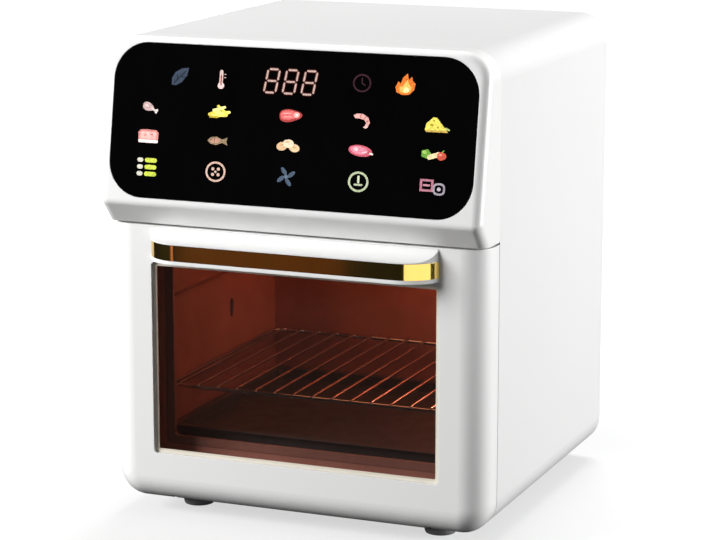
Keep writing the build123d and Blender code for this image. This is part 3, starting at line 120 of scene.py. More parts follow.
def add(tree, kind, inputs=None, **settings):
    """Make a node, choose its settings, then link or fill its sockets."""
    made = tree.nodes.new(kind)
    for name, value in settings.items():
        setattr(made, name, value)
    for key, value in (inputs or {}).items():
        if isinstance(value, bpy.types.NodeSocket):
            tree.links.new(value, made.inputs[key])
        else:
            made.inputs[key].default_value = value
    return made


print("white on the screen is", screen(255, 255, 255)[:3], "as light")

# %% [markdown]
# Real surfaces are never even. Small blocks give every finish its unevenness: a noise, a range, a mix
# of two colours or numbers, a product, a bump, a normal that is rounded over edges, and a mask that
# finds edges, where handling wears a coat first. The mask compares the true normal with the rounded
# one, because they differ only at an edge.

# %% Patterns and mixes
def noise(tree, place, scale, detail=3.0, rough=0.55, stretch=None):
    """Soft random pattern; a stretch makes it long in one direction, as rolling and brushing do."""
    if stretch:
        place = add(tree, "ShaderNodeMapping", {"Vector": place, "Scale": stretch}).outputs[0]
    sockets = {"Vector": place, "Scale": scale, "Detail": detail, "Roughness": rough}
    return add(tree, "ShaderNodeTexNoise", sockets).outputs["Fac"]


def span(tree, value, low, high, start=0.3, end=0.7):
    """Map the middle of a pattern onto the range from low to high."""
    sockets = {0: value, 1: start, 2: end, 3: low, 4: high}
    return add(tree, "ShaderNodeMapRange", sockets, clamp=True).outputs[0]


def tint(tree, share, first, second):
    """Blend two colours by a pattern."""
    mix = add(tree, "ShaderNodeMix", {0: share, 6: first, 7: second}, data_type="RGBA")
    return mix.outputs[2]


def between(tree, share, low, high):
    """A number that goes from low to high with a pattern."""
    return add(tree, "ShaderNodeMix", {0: share, 2: low, 3: high}).outputs[0]


def product(tree, first, second):
    """Two patterns multiplied."""
    return add(tree, "ShaderNodeMath", {0: first, 1: second}, operation="MULTIPLY").outputs[0]


print("patterns ready: noise, span, tint, between, product")

# %% Relief, edges and a new finish
def relief(tree, height, depth, normal=None):
    """Small relief, its depth in metres."""
    sockets = {"Height": height, "Distance": depth, "Strength": 1.0}
    if normal is not None:
        sockets["Normal"] = normal
    return add(tree, "ShaderNodeBump", sockets).outputs[0]


def rounded(tree, radius):
    """A normal that turns smoothly over an edge, as a moulded or painted edge does."""
    return add(tree, "ShaderNodeBevel", {"Radius": radius}, samples=4).outputs[0]


def edges(tree, radius, start=0.985, end=0.80):
    """Mask that is 1 along edges and 0 on open faces."""
    true_normal = add(tree, "ShaderNodeNewGeometry").outputs["Normal"]
    pair = {0: rounded(tree, radius), 1: true_normal}
    alike = add(tree, "ShaderNodeVectorMath", pair, operation="DOT_PRODUCT").outputs["Value"]
    return span(tree, alike, 0.0, 1.0, start, end)


def start_finish(name):
    """An empty finish: the material, its tree, its shader and the piece's own coordinates."""
    material = bpy.data.materials.new(name)
    material.use_nodes = True
    tree = material.node_tree
    tree.nodes.clear()
    shader = add(tree, "ShaderNodeBsdfPrincipled")
    add(tree, "ShaderNodeOutputMaterial", {"Surface": shader.outputs["BSDF"]})
    place = add(tree, "ShaderNodeTexCoord").outputs["Object"]
    return material, tree, shader, place


def wire_up(tree, shader, **sockets):
    """Link or fill the shader's sockets by their plain names."""
    names = {"colour": "Base Color", "rough": "Roughness", "metal": "Metallic", "normal": "Normal",
             "shine": "Specular IOR Level", "alpha": "Alpha", "glow": "Emission Color",
             "glow_strength": "Emission Strength", "coat": "Coat Weight"}
    for key, value in sockets.items():
        socket = shader.inputs[names[key]]
        if isinstance(value, bpy.types.NodeSocket):
            tree.links.new(value, socket)
        else:
            socket.default_value = value


finishes = {}
print("blocks ready: relief, rounded, edges, start_finish, wire_up")

# %% [markdown]
# ## The white coats
# The body is a folded sheet under gloss white powder coat; the head, the door and the ledge are
# moulded in gloss white plastic. Both are nearly the same white, but the powder coat has a coarser
# ripple, like orange peel, and a softer shine. Edges are rounded in the shading, so that they catch
# a fine line of light as real corners do, and a trace of grey sits where hands and dust go.

# %% White finishes
def white_coat(name, white, worn, shine_range, ripple_size, ripple_depth, edge_radius):
    """Gloss white with a fine ripple, soft edges, and a little unevenness in colour and shine."""
    material, tree, shader, place = start_finish(name)
    cloud = noise(tree, place, 6.0, 3.0)
    handled = noise(tree, place, 11.0, 3.0, 0.5)
    base = tint(tree, span(tree, cloud, 0.0, 1.0, 0.0, 1.0), white, worn)
    rim = span(tree, edges(tree, edge_radius, 0.93, 0.70), 0.0, 0.3, 0.0, 1.0)
    colour = tint(tree, rim, base, worn)
    rough = span(tree, handled, *shine_range, 0.0, 1.0)
    ripple = noise(tree, place, 1.0 / ripple_size, 2.0)
    normal = relief(tree, ripple, ripple_depth, rounded(tree, edge_radius))
    wire_up(tree, shader, colour=colour, rough=rough, normal=normal, shine=0.5)
    return material


finishes["white_plastic"] = white_coat(
    "gloss white plastic", (0.865, 0.865, 0.86, 1), (0.845, 0.845, 0.838, 1),
    (0.285, 0.325), 2.4 * MM, 0.008 * MM, 0.7 * MM)
finishes["white_steel"] = white_coat(
    "gloss white powder coat", (0.77, 0.77, 0.77, 1), (0.75, 0.75, 0.746, 1),
    (0.36, 0.41), 1.5 * MM, 0.02 * MM, 0.9 * MM)
print("white coats:", len(finishes))

# %% [markdown]
# ## Glass, black and clear
# The touch panel is glass with black ink behind it: almost no colour of its own, a hard shine, and
# faint finger marks that show only as a change in shine. The window is two panes of slightly
# tinted glass. A see-through finish with a low alpha renders fast and lets the cavity's light through;
# its marks are in the roughness and a little in the alpha, and its edges are denser, as thick glass is.

# %% Glass finishes
def touch_glass():
    """Nearly black glass with a hard shine that finger marks dull in places."""
    material, tree, shader, place = start_finish("black touch glass")
    smear = noise(tree, place, 26.0, 6.0, 0.7, (1.0, 1.0, 0.45))
    print_marks = noise(tree, place, 210.0, 4.0)
    marks = span(tree, smear, 0.0, 1.0, 0.52, 0.72)
    fine = span(tree, print_marks, 0.0, 1.0, 0.35, 0.65)
    rough = span(tree, product(tree, marks, fine), 0.05, 0.20, 0.0, 1.0)
    black = (0.0010, 0.0010, 0.0012, 1)
    hazy_black = (0.0020, 0.0019, 0.0021, 1)
    colour = tint(tree, span(tree, smear, 0.0, 1.0), black, hazy_black)
    normal = relief(tree, noise(tree, place, 45.0, 1.0), 0.01 * MM, rounded(tree, 0.5 * MM))
    wire_up(tree, shader, colour=colour, rough=rough, normal=normal, shine=0.3)
    return material


def window_glass(name, clear, dense, tone, rough_low, rough_high):
    """Tinted see-through glass: clear and dense are its alpha on the face and at the edges."""
    material, tree, shader, place = start_finish(name)
    smear = noise(tree, place, 18.0, 5.0, 0.65, (1.0, 1.0, 0.5))
    speck = noise(tree, place, 420.0, 3.0, 0.6)
    film = span(tree, smear, clear, clear * 1.7, 0.45, 0.75)
    alpha = between(tree, edges(tree, 1.2 * MM), film, dense)
    rough = span(tree, speck, rough_low, rough_high)
    deeper = tuple(0.7 * part for part in tone[:3]) + (1,)
    colour = tint(tree, span(tree, smear, 0.0, 1.0), tone, deeper)
    normal = relief(tree, noise(tree, place, 30.0, 1.0), 0.008 * MM)
    wire_up(tree, shader, colour=colour, rough=rough, alpha=alpha, normal=normal, shine=0.6)
    return material


finishes["black_glass"] = touch_glass()
finishes["clear_glass"] = window_glass("tinted oven glass", 0.10, 0.55, (0.035, 0.022, 0.018, 1), 0.02, 0.07)
lamp_glass = window_glass("lamp glass", 0.16, 0.6, (0.9, 0.8, 0.62, 1), 0.10, 0.24)
print("glass finishes ready")

# %% [markdown]
# ## Metals
# Most sheet metal shows how it was made: rolled sheet has long fine streaks, zinc plate has a cloudy
# grain, chromed wire is nearly a mirror and plated gold is a mirror with a colour. One recipe covers
# them, with the streaks' stretch, the grain's size and the shine as its values. Edges are a little
# brighter, because they are rubbed.

# %% Metal finishes
def metal(name, colour, dark, rough, stretch, grain, depth=0.01 * MM, bright=None, metal_share=1.0):
    """Bare or plated metal with streaks or grain, uneven shine and rubbed edges."""
    material, tree, shader, place = start_finish(name)
    streaks = noise(tree, place, grain, 5.0, 0.65, stretch)
    clouds = noise(tree, place, 14.0, 3.0)
    base = tint(tree, span(tree, clouds, 0.0, 1.0), colour, dark)
    rubbed = bright or tuple(min(1.0, part * 1.25) for part in colour[:3]) + (1,)
    face = tint(tree, span(tree, edges(tree, 0.4 * MM), 0.0, 0.6, 0.0, 1.0), base, rubbed)
    shine = span(tree, streaks, rough[0], rough[1])
    normal = relief(tree, streaks, depth, rounded(tree, 0.3 * MM))
    wire_up(tree, shader, colour=face, metal=metal_share, rough=shine, normal=normal)
    return material


# Each row: name, colour, darker colour, range of shine, stretch, grain, and what differs from the recipe.
metals = {
    "steel": ("plain steel", (0.56, 0.55, 0.54, 1), (0.42, 0.41, 0.40, 1), (0.28, 0.45), (1, 12, 1), 160.0),
    "zinc": ("zinc plate", (0.62, 0.63, 0.64, 1), (0.47, 0.48, 0.50, 1), (0.34, 0.52), (1, 1, 1), 120.0),
    "chrome": ("bright wire", (0.68, 0.68, 0.70, 1), (0.55, 0.55, 0.56, 1), (0.10, 0.20), (1, 1, 1), 260.0,
               0.004 * MM),
    "gold": ("plated gold", (0.95, 0.68, 0.20, 1), (0.84, 0.55, 0.12, 1), (0.07, 0.13), (6, 1, 1), 60.0,
             0.002 * MM, (1.0, 0.86, 0.5, 1)),
    "trim": ("satin trim", (0.95, 0.90, 0.78, 1), (0.90, 0.85, 0.73, 1), (0.34, 0.42), (1, 1, 8), 40.0,
             0.002 * MM, None, 0.25),
    "bronze": ("sintered bronze", (0.55, 0.36, 0.18, 1), (0.38, 0.24, 0.11, 1), (0.38, 0.58), (1, 1, 1),
               900.0, 0.02 * MM),
    "alloy": ("stamped alloy", (0.74, 0.74, 0.75, 1), (0.58, 0.58, 0.60, 1), (0.285, 0.42), (10, 1, 1), 90.0),
}
for slot_name, values in metals.items():
    finishes[slot_name] = metal(*values)
print("metals:", list(metals))

# %% [markdown]
# ## Enamel, plastics, rubber and the rest
# The cavity is enamelled sheet: a warm brown with sparse paler specks and a soft gloss. The dark
# enamel of tray and coil is the same recipe with other colours. Moulded black plastic has a fine grain,
# rubber is duller with a chalky bloom, and ceramic is smoother and shinier.

# %% Enamel
def enamel(name, colour, deep, speck, rough, speck_size, metal_share=0.0):
    """Fired coat: two close tones, sparse specks and a faint waviness."""
    material, tree, shader, place = start_finish(name)
    clouds = noise(tree, place, 16.0, 4.0)
    dots = noise(tree, place, 1.0 / speck_size, 2.0, 0.4)
    base = tint(tree, span(tree, clouds, 0.0, 1.0), colour, deep)
    spotted = tint(tree, span(tree, dots, 0.0, 0.55, 0.62, 0.70), base, speck)
    face = tint(tree, span(tree, edges(tree, 0.6 * MM), 0.0, 0.4, 0.0, 1.0), spotted, speck)
    shine = span(tree, noise(tree, place, 70.0, 4.0), *rough)
    normal = relief(tree, noise(tree, place, 300.0, 2.0), 0.015 * MM, rounded(tree, 0.5 * MM))
    wire_up(tree, shader, colour=face, rough=shine, normal=normal, metal=metal_share)
    return material


finishes["liner"] = enamel(
    "warm cavity enamel", (0.36, 0.150, 0.115, 1), (0.30, 0.120, 0.090, 1), (0.42, 0.21, 0.17, 1),
    (0.30, 0.42), 0.9 * MM, 0.15)
finishes["dark_metal"] = enamel(
    "dark enamel", (0.045, 0.038, 0.036, 1), (0.025, 0.022, 0.022, 1), (0.16, 0.14, 0.13, 1),
    (0.28, 0.42), 0.8 * MM)
print("enamel for the cavity, the tray and the coil")

# %% Moulded finishes
def moulded(name, colour, pale, rough, grain_size, grain_depth, bloom=0.25):
    """Moulded plastic, rubber or ceramic: even colour, fine grain, and paler worn edges."""
    edge_radius = 0.4 * MM
    material, tree, shader, place = start_finish(name)
    grain = noise(tree, place, 1.0 / grain_size, 3.0, 0.5)
    clouds = noise(tree, place, 22.0, 4.0)
    base = tint(tree, span(tree, clouds, 0.0, bloom), colour, pale)
    face = tint(tree, span(tree, edges(tree, edge_radius), 0.0, 0.5, 0.0, 1.0), base, pale)
    shine = span(tree, grain, *rough)
    normal = relief(tree, grain, grain_depth, rounded(tree, edge_radius))
    wire_up(tree, shader, colour=face, rough=shine, normal=normal)
    return material


# Each row: name, colour, paler colour, range of shine, size and depth of the grain, and a stronger bloom.
moulds = {
    "black_plastic": ("black plastic", (0.022, 0.022, 0.024, 1), (0.055, 0.055, 0.058, 1), (0.42, 0.58),
                      0.35 * MM, 0.02 * MM),
    "rubber": ("grey rubber", (0.17, 0.17, 0.175, 1), (0.26, 0.26, 0.26, 1), (0.62, 0.82),
               0.5 * MM, 0.03 * MM, 0.5),
    "silicone": ("silicone", (0.16, 0.155, 0.15, 1), (0.27, 0.265, 0.26, 1), (0.48, 0.66),
                 0.6 * MM, 0.02 * MM, 0.4),
    "ceramic": ("glazed ceramic", (0.80, 0.77, 0.71, 1), (0.66, 0.62, 0.56, 1), (0.285, 0.40),
                0.7 * MM, 0.01 * MM),
    "magnet": ("sintered magnet", (0.05, 0.05, 0.055, 1), (0.12, 0.12, 0.125, 1), (0.50, 0.70),
               0.3 * MM, 0.03 * MM),
}
for slot_name, values in moulds.items():
    finishes[slot_name] = moulded(*values)
print("finishes so far:", len(finishes))

# %% [markdown]
# The boards hide in the head, but they show when the oven is looked at piece by piece. A green
# lacquered board has copper paths under the lacquer: here a brick pattern gives straight runs with
# even gaps, shown only as a slightly paler green and a slight relief.

# %% Circuit board finish
def board_finish():
    """Green lacquer over paler copper paths."""
    material, tree, shader, place = start_finish("lacquered board")
    runs = add(tree, "ShaderNodeTexBrick", {
        "Vector": place, "Scale": 160.0, "Mortar Size": 0.05, "Mortar Smooth": 0.3,
        "Brick Width": 1.6, "Row Height": 0.35,
        "Color1": (0, 0, 0, 1), "Color2": (0, 0, 0, 1), "Mortar": (1, 1, 1, 1)})
    patches = span(tree, noise(tree, place, 55.0, 2.0), 0.0, 1.0, 0.42, 0.55)
    paths = product(tree, runs.outputs["Color"], patches)
    cloud = span(tree, noise(tree, place, 12.0), 0.0, 1.0)
    green = tint(tree, cloud, (0.012, 0.075, 0.030, 1), (0.020, 0.11, 0.045, 1))
    colour = tint(tree, paths, green, (0.07, 0.24, 0.10, 1))
    rough = span(tree, noise(tree, place, 130.0, 3.0), 0.285, 0.38)
    wire_up(tree, shader, colour=colour, rough=rough, normal=relief(tree, paths, 0.03 * MM), coat=0.3)
    return material


finishes["board"] = board_finish()
slot_of = {row["node"]: row["material_slot"] for row in frame["record"]["subparts"]}
for node, piece in parts.items():
    finish = lamp_glass if node in ("lamp_lens", "lamp_bulb") else finishes[slot_of[node]]
    for slot in piece.material_slots:
        slot.material = finish
print("finish given to", len(parts), "pieces")

# %% [markdown]
# ## Pieces that repeat
# Screws, feet, weld beads and the bars of the digits are one shape set down many times. Geometry
# Nodes do that well: the shape is modelled once, a mesh of points says where, and each point carries
# the way that it faces, its turn and its size. The tree ends in real geometry with a finish, and the
# result is kept as a plain mesh, so that no modifier is left on the oven.

# %% Start and end of a tree
def open_tree(name, sockets):
    """A node tree with named inputs, and the sockets that give their values inside it."""
    tree = bpy.data.node_groups.new(name, "GeometryNodeTree")
    tree.interface.new_socket("Geometry", in_out="INPUT", socket_type="NodeSocketGeometry")
    for title, kind in sockets:
        tree.interface.new_socket(title, in_out="INPUT", socket_type="NodeSocket" + kind)
    tree.interface.new_socket("Geometry", in_out="OUTPUT", socket_type="NodeSocketGeometry")
    return tree, add(tree, "NodeGroupInput").outputs


def named(tree, title, kind):
    """Read an attribute that the points carry."""
    return add(tree, "GeometryNodeInputNamedAttribute", {"Name": title}, data_type=kind).outputs["Attribute"]


def close_tree(tree, shape, given):
    """End a tree: copies become real geometry and get their finish."""
    real = add(tree, "GeometryNodeRealizeInstances", {0: shape}).outputs[0]
    done = add(tree, "GeometryNodeSetMaterial", {0: real, "Material": given["Material"]}).outputs[0]
    add(tree, "NodeGroupOutput", {0: done})


print("every tree starts with open_tree and ends with close_tree")

# %% A tree that sets a pattern on points
def pattern_tree():
    """Tree that sets a pattern on points, each turned, sized and faced as its point says."""
    sockets = (("Pattern", "Object"), ("Spin", "Float"), ("Seed", "Int"), ("Material", "Material"))
    tree, given = open_tree("pattern on points", sockets)
    pattern = add(tree, "GeometryNodeObjectInfo", {"Object": given["Pattern"]}).outputs["Geometry"]
    facing = named(tree, "facing", "FLOAT_VECTOR")
    face = add(tree, "FunctionNodeAlignRotationToVector", {"Vector": facing}, axis="Z").outputs[0]
    chance = add(tree, "FunctionNodeRandomValue", {"Seed": given["Seed"]}, data_type="FLOAT").outputs[1]
    spin = product(tree, chance, given["Spin"])
    turn = add(tree, "ShaderNodeMath", {0: spin, 1: named(tree, "turn", "FLOAT")}, operation="ADD").outputs[0]
    about_z = add(tree, "ShaderNodeCombineXYZ", {"Z": turn}).outputs[0]
    turned = add(tree, "FunctionNodeRotateRotation", {0: face, 1: about_z}, rotation_space="LOCAL").outputs[0]
    copies = add(tree, "GeometryNodeInstanceOnPoints", {
        "Points": given["Geometry"], "Instance": pattern, "Rotation": turned,
        "Scale": named(tree, "size", "FLOAT_VECTOR")}).outputs[0]
    close_tree(tree, copies, given)
    return tree


on_points = pattern_tree()
print("tree:", on_points.name, "with", len(on_points.nodes), "nodes")

# %% [markdown]
# Small helpers go with the tree. Three of them do what every piece needs: keep a mesh that was built
# corner by corner, put an object in the scene, and read the mesh that its modifiers make. The others
# turn a list of places into a mesh of points, run a tree, join meshes, and make the piece that rides
# on a body of the oven.

# %% Meshes and objects
def mesh_from(work, name):
    """Keep a mesh that was built corner by corner."""
    mesh = bpy.data.meshes.new(name)
    work.to_mesh(mesh)
    work.free()
    return mesh


def in_scene(data):
    """An object in the scene for a mesh, a lamp or a camera, under the same name."""
    made = bpy.data.objects.new(data.name, data)
    bpy.context.scene.collection.objects.link(made)
    return made


def shaped(thing):
    """Plain mesh of an object as its modifiers make it."""
    bpy.context.view_layer.update()
    seen = thing.evaluated_get(bpy.context.evaluated_depsgraph_get())
    return bpy.data.meshes.new_from_object(seen)


print("helpers ready: mesh_from, in_scene, shaped")

# %% Points, growing and riding
def points_mesh(places):
    """Points from (place, facing, turn, size) rows."""
    mesh = bpy.data.meshes.new("places")
    mesh.from_pydata([row[0] for row in places], [], [])
    carried = (("facing", "FLOAT_VECTOR"), ("turn", "FLOAT"), ("size", "FLOAT_VECTOR"))
    for column, (title, kind) in enumerate(carried, start=1):
        layer = mesh.attributes.new(title, kind, "POINT")
        key = "value" if kind == "FLOAT" else "vector"
        values = np.array([row[column] for row in places], dtype=np.float32)
        layer.data.foreach_set(key, values.ravel())
    return mesh


def grow(tree, base, settings):
    """Run a node tree on a mesh and return the plain mesh that it makes."""
    carrier = in_scene(base)
    step = carrier.modifiers.new("grow", "NODES")
    step.node_group = tree
    for item in tree.interface.items_tree:
        if item.in_out == "INPUT" and item.name in settings:
            step[item.identifier] = settings[item.name]
    mesh = shaped(carrier)
    carrier.modifiers.remove(step)
    bpy.data.objects.remove(carrier)
    return mesh


def make_piece(name, mesh, body, finish=None, stands_for=()):
    """Put a finished mesh on the oven as a piece that moves with a body."""
    mesh.name = name
    piece = in_scene(mesh)
    if finish:
        mesh.materials.clear()
        mesh.materials.append(finish)
    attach(piece, body)
    if stands_for:
        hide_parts(*stands_for)
    print(name, "rides on", body, "with", len(mesh.polygons), "faces")


def joined(meshes):
    """One mesh from several."""
    work = bmesh.new()
    for mesh in meshes:
        work.from_mesh(mesh)
    whole = mesh_from(work, "joined")
    for material in meshes[0].materials:
        whole.materials.append(material)
    return whole


print("helpers ready: points_mesh, grow, make_piece, joined")

# %% [markdown]
# ## Turned shapes
# A screw head, a foot and a weld bead are all shapes of revolution, so one lathe makes them: a
# profile of radius and height, turned about Z. A screw also needs its cross recess. It is cut with
# a Boolean on the pattern alone, which is modelled about a unit large, where the solver has easy
# numbers to work with.

# %% Lathe
def band(work, low, high):
    """Faces between two rings of corners; a ring of one corner closes to a tip."""
    count = max(len(low), len(high))
    made = []
    for step in range(count):
        after = (step + 1) % count
        places = ((low, step), (low, after), (high, after), (high, step))
        corners = [ring[place % len(ring)] for ring, place in places]
        made.append(work.faces.new(list(dict.fromkeys(corners))))
    return made


def lathe(profile, steps, name, through=False):
    """Closed shape from (radius, height) rows: up from axis to axis, or round a hole through it."""
    work = bmesh.new()
    rings = []
    for radius, height in profile:
        turns = [math.tau * step / steps for step in range(steps if radius else 1)]
        rings.append([work.verts.new((radius * math.cos(t), radius * math.sin(t), height)) for t in turns])
    for low, high in zip(rings, rings[1:] + (rings[:1] if through else [])):
        band(work, low, high)
    bmesh.ops.recalc_face_normals(work, faces=work.faces)
    return mesh_from(work, name)


print("lathe ready")

# %% Cutter
def cut(mesh, cutter_mesh):
    """Take one closed shape out of another."""
    body = in_scene(mesh)
    cutter = in_scene(cutter_mesh)
    step = body.modifiers.new("cut", "BOOLEAN")
    step.object = cutter
    step.operation = "DIFFERENCE"
    step.solver = "EXACT"
    result = shaped(body)
    bpy.data.objects.remove(body)
    bpy.data.objects.remove(cutter)
    return result


def rotated(x, y, turn):
    """A flat place turned about the middle."""
    return x * math.cos(turn) - y * math.sin(turn), x * math.sin(turn) + y * math.cos(turn)


def cross(reach, width, top, bottom):
    """Cutter for a cross recess: two crossed wedges that narrow downwards."""
    narrow_reach, narrow_width = 0.35, 0.74
    work = bmesh.new()
    for turn in (0, math.pi / 2):
        for vert in bmesh.ops.create_cube(work, size=1.0)["verts"]:
            upper = vert.co.z > 0
            x = vert.co.x * 2 * reach * (1.0 if upper else narrow_reach)
            y = vert.co.y * width * (1.0 if upper else narrow_width)
            vert.co = Vector((*rotated(x, y, turn), top if upper else bottom))
    return mesh_from(work, "cross")


print("cutter ready")

# %% [markdown]
# ## Screws
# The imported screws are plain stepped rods. Each gets a domed pan head with a cross recess and a
# threaded shank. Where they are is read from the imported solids: a solid's points spread evenly round
# its axis, so the direction whose spread differs from the other two is the axis, and the widest
# points tell which end has the head. A random turn keeps the recesses from lining up.

# %% Find the screws
def loose_solids(node):
    """Point lists of a node's separate solids, in a fixed order."""
    work = bmesh.new()
    work.from_mesh(parts[node].data)
    bmesh.ops.remove_doubles(work, verts=work.verts, dist=0.001 * MM)
    work.verts.ensure_lookup_table()
    seen, solids = set(), []
    for first in work.verts:
        if first.index in seen:
            continue
        seen.add(first.index)
        group, todo = [], [first]
        while todo:
            vert = todo.pop()
            group.append(np.array(vert.co))
            for edge in vert.link_edges:
                other = edge.other_vert(vert)
                if other.index not in seen:
                    seen.add(other.index)
                    todo.append(other)
        solids.append(np.array(group))
    work.free()
    return sorted(solids, key=lambda group: tuple(np.round(group.mean(0), 5)))


def screw_pose(points):
    """Head top, outward direction, head radius and whole length of one screw."""
    spread, ways = np.linalg.eigh(np.cov((points - points.mean(0)).T))
    axis = ways[:, 2] if spread[1] - spread[0] < spread[2] - spread[1] else ways[:, 0]
    along = (points - points.mean(0)) @ axis
    across = np.linalg.norm(points - points.mean(0) - np.outer(along, axis), axis=1)
    wide = across > 0.9 * across.max()
    if along[wide].mean() < (along.max() + along.min()) / 2:
        axis, along = -axis, -along
    top = points.mean(0) + axis * along.max()
    return top, axis, across.max(), along.max() - along.min()


screws = {}
for node in parts:
    if node.endswith("_screws"):
        screws[node] = [screw_pose(group) for group in loose_solids(node)]
        head_width = 2 * screws[node][0][2] / MM
        print(node, len(screws[node]), "screws, head", round(head_width, 1), "mm across")

# %% Model one screw and set it everywhere
screw_head_height = 1.6
screw_head_radius = 3.4
screw_rod_radius = 1.6
thread_turns = 9


def screw_head():
    """Pan head in units of its own radius, top at zero, with a cross recess."""
    flat = screw_head_height / screw_head_radius
    profile = [(0, -flat), (0.92, -flat), (0.985, -0.88 * flat), (1.0, -0.7 * flat), (0.975, -0.45 * flat),
               (0.88, -0.2 * flat), (0.70, -0.07 * flat), (0.40, -0.012 * flat), (0, 0)]
    recess = cross(reach=0.48, width=0.16, top=0.1, bottom=-0.72 * flat)
    return cut(lathe(profile, steps=24, name="screw head"), recess)


def screw_shank():
    """Threaded rod of radius 1 from height 0 down to -1."""
    profile = [(0, -1), (0.7, -1)]
    for turn in range(thread_turns):
        low = -1 + (turn + 0.3) / thread_turns
        profile += [(0.86, low), (1.0, low + 0.25 / thread_turns), (0.86, low + 0.5 / thread_turns)]
    profile += [(0.95, 0), (0, 0)]
    return lathe(profile, steps=12, name="screw shank")


head = in_scene(screw_head())
shank = in_scene(screw_shank())
rod_start = 0.9 * screw_head_height * MM
for node, found in screws.items():
    heads = []
    rods = []
    for top, way, radius, length in found:
        thick = radius * screw_rod_radius / screw_head_radius
        heads.append((top, way, 0.0, (radius, radius, radius)))
        rods.append((top - way * rod_start, way, 0.0, (thick, thick, length - rod_start)))
    settings = {"Seed": 7, "Material": finishes["zinc"]}
    tops = grow(on_points, points_mesh(heads), {**settings, "Pattern": head, "Spin": math.tau})
    below = grow(on_points, points_mesh(rods), {**settings, "Pattern": shank, "Spin": 0.0})
    body = parts[node]["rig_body"]
    make_piece(node + "_cross_head", joined([tops, below]), body, finishes["zinc"], (node,))
bpy.data.objects.remove(head)
bpy.data.objects.remove(shank)

# %% [markdown]
# ## Feet
# Each foot is a short tapered rubber stub with a rounded lower edge, two fine grooves and a sunk
# hole for its screw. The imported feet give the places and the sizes, and the lathe adds the rest.

# %% Turn the feet
def foot_profile(wide, narrow, hole, tall):
    """Ring profile of a foot, from the mouth of the hole round the outside and back through it."""
    groove = 0.5
    outer = [(narrow - 1.2, 0), (narrow - 0.35, 0.3), (narrow, 1.1)]
    for height in (0.38 * tall, 0.62 * tall):
        radius = narrow + (wide - narrow) * height / tall
        outer += [(radius, height - groove), (radius - groove, height), (radius, height + groove)]
    outer += [(wide, tall - 0.4), (wide - 0.3, tall)]
    inner = [(hole / 2, tall), (hole / 2, tall / 2), (hole, tall / 2), (hole, 0.5)]
    return [(hole + 1.0, 0), *outer, *inner]


foot_solids = loose_solids("rubber_feet")
foot_size = (foot_solids[0].max(0) - foot_solids[0].min(0)) / MM
foot_radius = foot_size[0] / 2
foot_taper = 2
foot_hole = 3.9
profile = foot_profile(foot_radius, foot_radius - foot_taper, foot_hole, foot_size[2])
foot_mesh = lathe(profile, steps=48, name="foot", through=True)
foot_mesh.shade_smooth()
foot = in_scene(foot_mesh)
foot_places = []
for group in foot_solids:
    middle = (group.max(0) + group.min(0)) / 2
    foot_places.append(((middle[0], middle[1], group[:, 2].min()), (0, 0, 1), 0.0, (MM, MM, MM)))
foot_values = {"Pattern": foot, "Seed": 3, "Spin": 1.0, "Material": finishes["rubber"]}
feet = grow(on_points, points_mesh(foot_places), foot_values)
make_piece("grooved_feet", feet, "housing", finishes["rubber"], ("rubber_feet",))
bpy.data.objects.remove(foot)

# %% [markdown]
# ## The wire rack
# The rack is bent and welded wire: one frame with round corners, and thin bars that lie across it.
# A second tree turns the edges of a mesh into wire: it makes them a curve, rounds the corners and
# draws a circle along them. The welds are small beads, set with the first tree.

# %% A tree that turns edges into wire
def wire_tree():
    """Tree that draws round wire along the edges of a mesh and rounds its corners."""
    sockets = (("Wire radius", "Float"), ("Corner radius", "Float"),
               ("Sides", "Int"), ("Material", "Material"))
    tree, given = open_tree("edges to wire", sockets)
    line = add(tree, "GeometryNodeMeshToCurve", {0: given["Geometry"]}).outputs[0]
    corner = {"Curve": line, "Count": 8, "Radius": given["Corner radius"]}
    bent = add(tree, "GeometryNodeFilletCurve", corner, mode="POLY").outputs[0]
    circle = {"Resolution": given["Sides"], "Radius": given["Wire radius"]}
    ring = add(tree, "GeometryNodeCurvePrimitiveCircle", circle).outputs[0]
    sweep = {"Curve": bent, "Profile Curve": ring, "Fill Caps": True}
    close_tree(tree, add(tree, "GeometryNodeCurveToMesh", sweep).outputs[0], given)
    return tree


def edge_mesh(corners, pairs):
    """Mesh of edges alone, from corners and the pairs that they join."""
    mesh = bpy.data.meshes.new("lines")
    mesh.from_pydata(corners, pairs, [])
    return mesh


edges_to_wire = wire_tree()
print("tree:", edges_to_wire.name)

# %% Bend and weld the rack
rack_wire = 1.6 * MM
rack_bar = 1.2 * MM
rack_bars = 15
rack_bend = 9 * MM
first_bar = 8.5 * MM
low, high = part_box("wire_rack")
level = low[2] + rack_wire
x0, x1 = low[0] + rack_wire, high[0] - rack_wire
y0, y1 = low[1] + rack_wire, high[1] - rack_wire
loop = [(x0, y0, level), (x1, y0, level), (x1, y1, level), (x0, y1, level)]
wire_values = {"Sides": 14, "Corner radius": rack_bend, "Material": finishes["chrome"]}
loop_edges = edge_mesh(loop, [(0, 1), (1, 2), (2, 3), (3, 0)])
frame_wire = grow(edges_to_wire, loop_edges, {**wire_values, "Wire radius": rack_wire})
bar_reach = -x0 - first_bar
bar_places = [bar_reach * (2 * bar / (rack_bars - 1) - 1) for bar in range(rack_bars)]
ends = []
for x in bar_places:
    ends += [(x, y0, level + rack_wire), (x, y1, level + rack_wire)]
pairs = [(2 * bar, 2 * bar + 1) for bar in range(rack_bars)]
bar_values = {**wire_values, "Corner radius": 0.0, "Wire radius": rack_bar}
bars = grow(edges_to_wire, edge_mesh(ends, pairs), bar_values)
bead_profile = [(0, -1), (0.6, -0.8), (0.95, -0.3), (1, 0), (0.85, 0.5), (0.45, 0.88), (0, 1)]
bead = in_scene(lathe(bead_profile, steps=10, name="weld bead"))
bead_size = (1.7 * MM, 1.5 * MM, 0.9 * MM)
bead_level = level + 0.7 * rack_wire
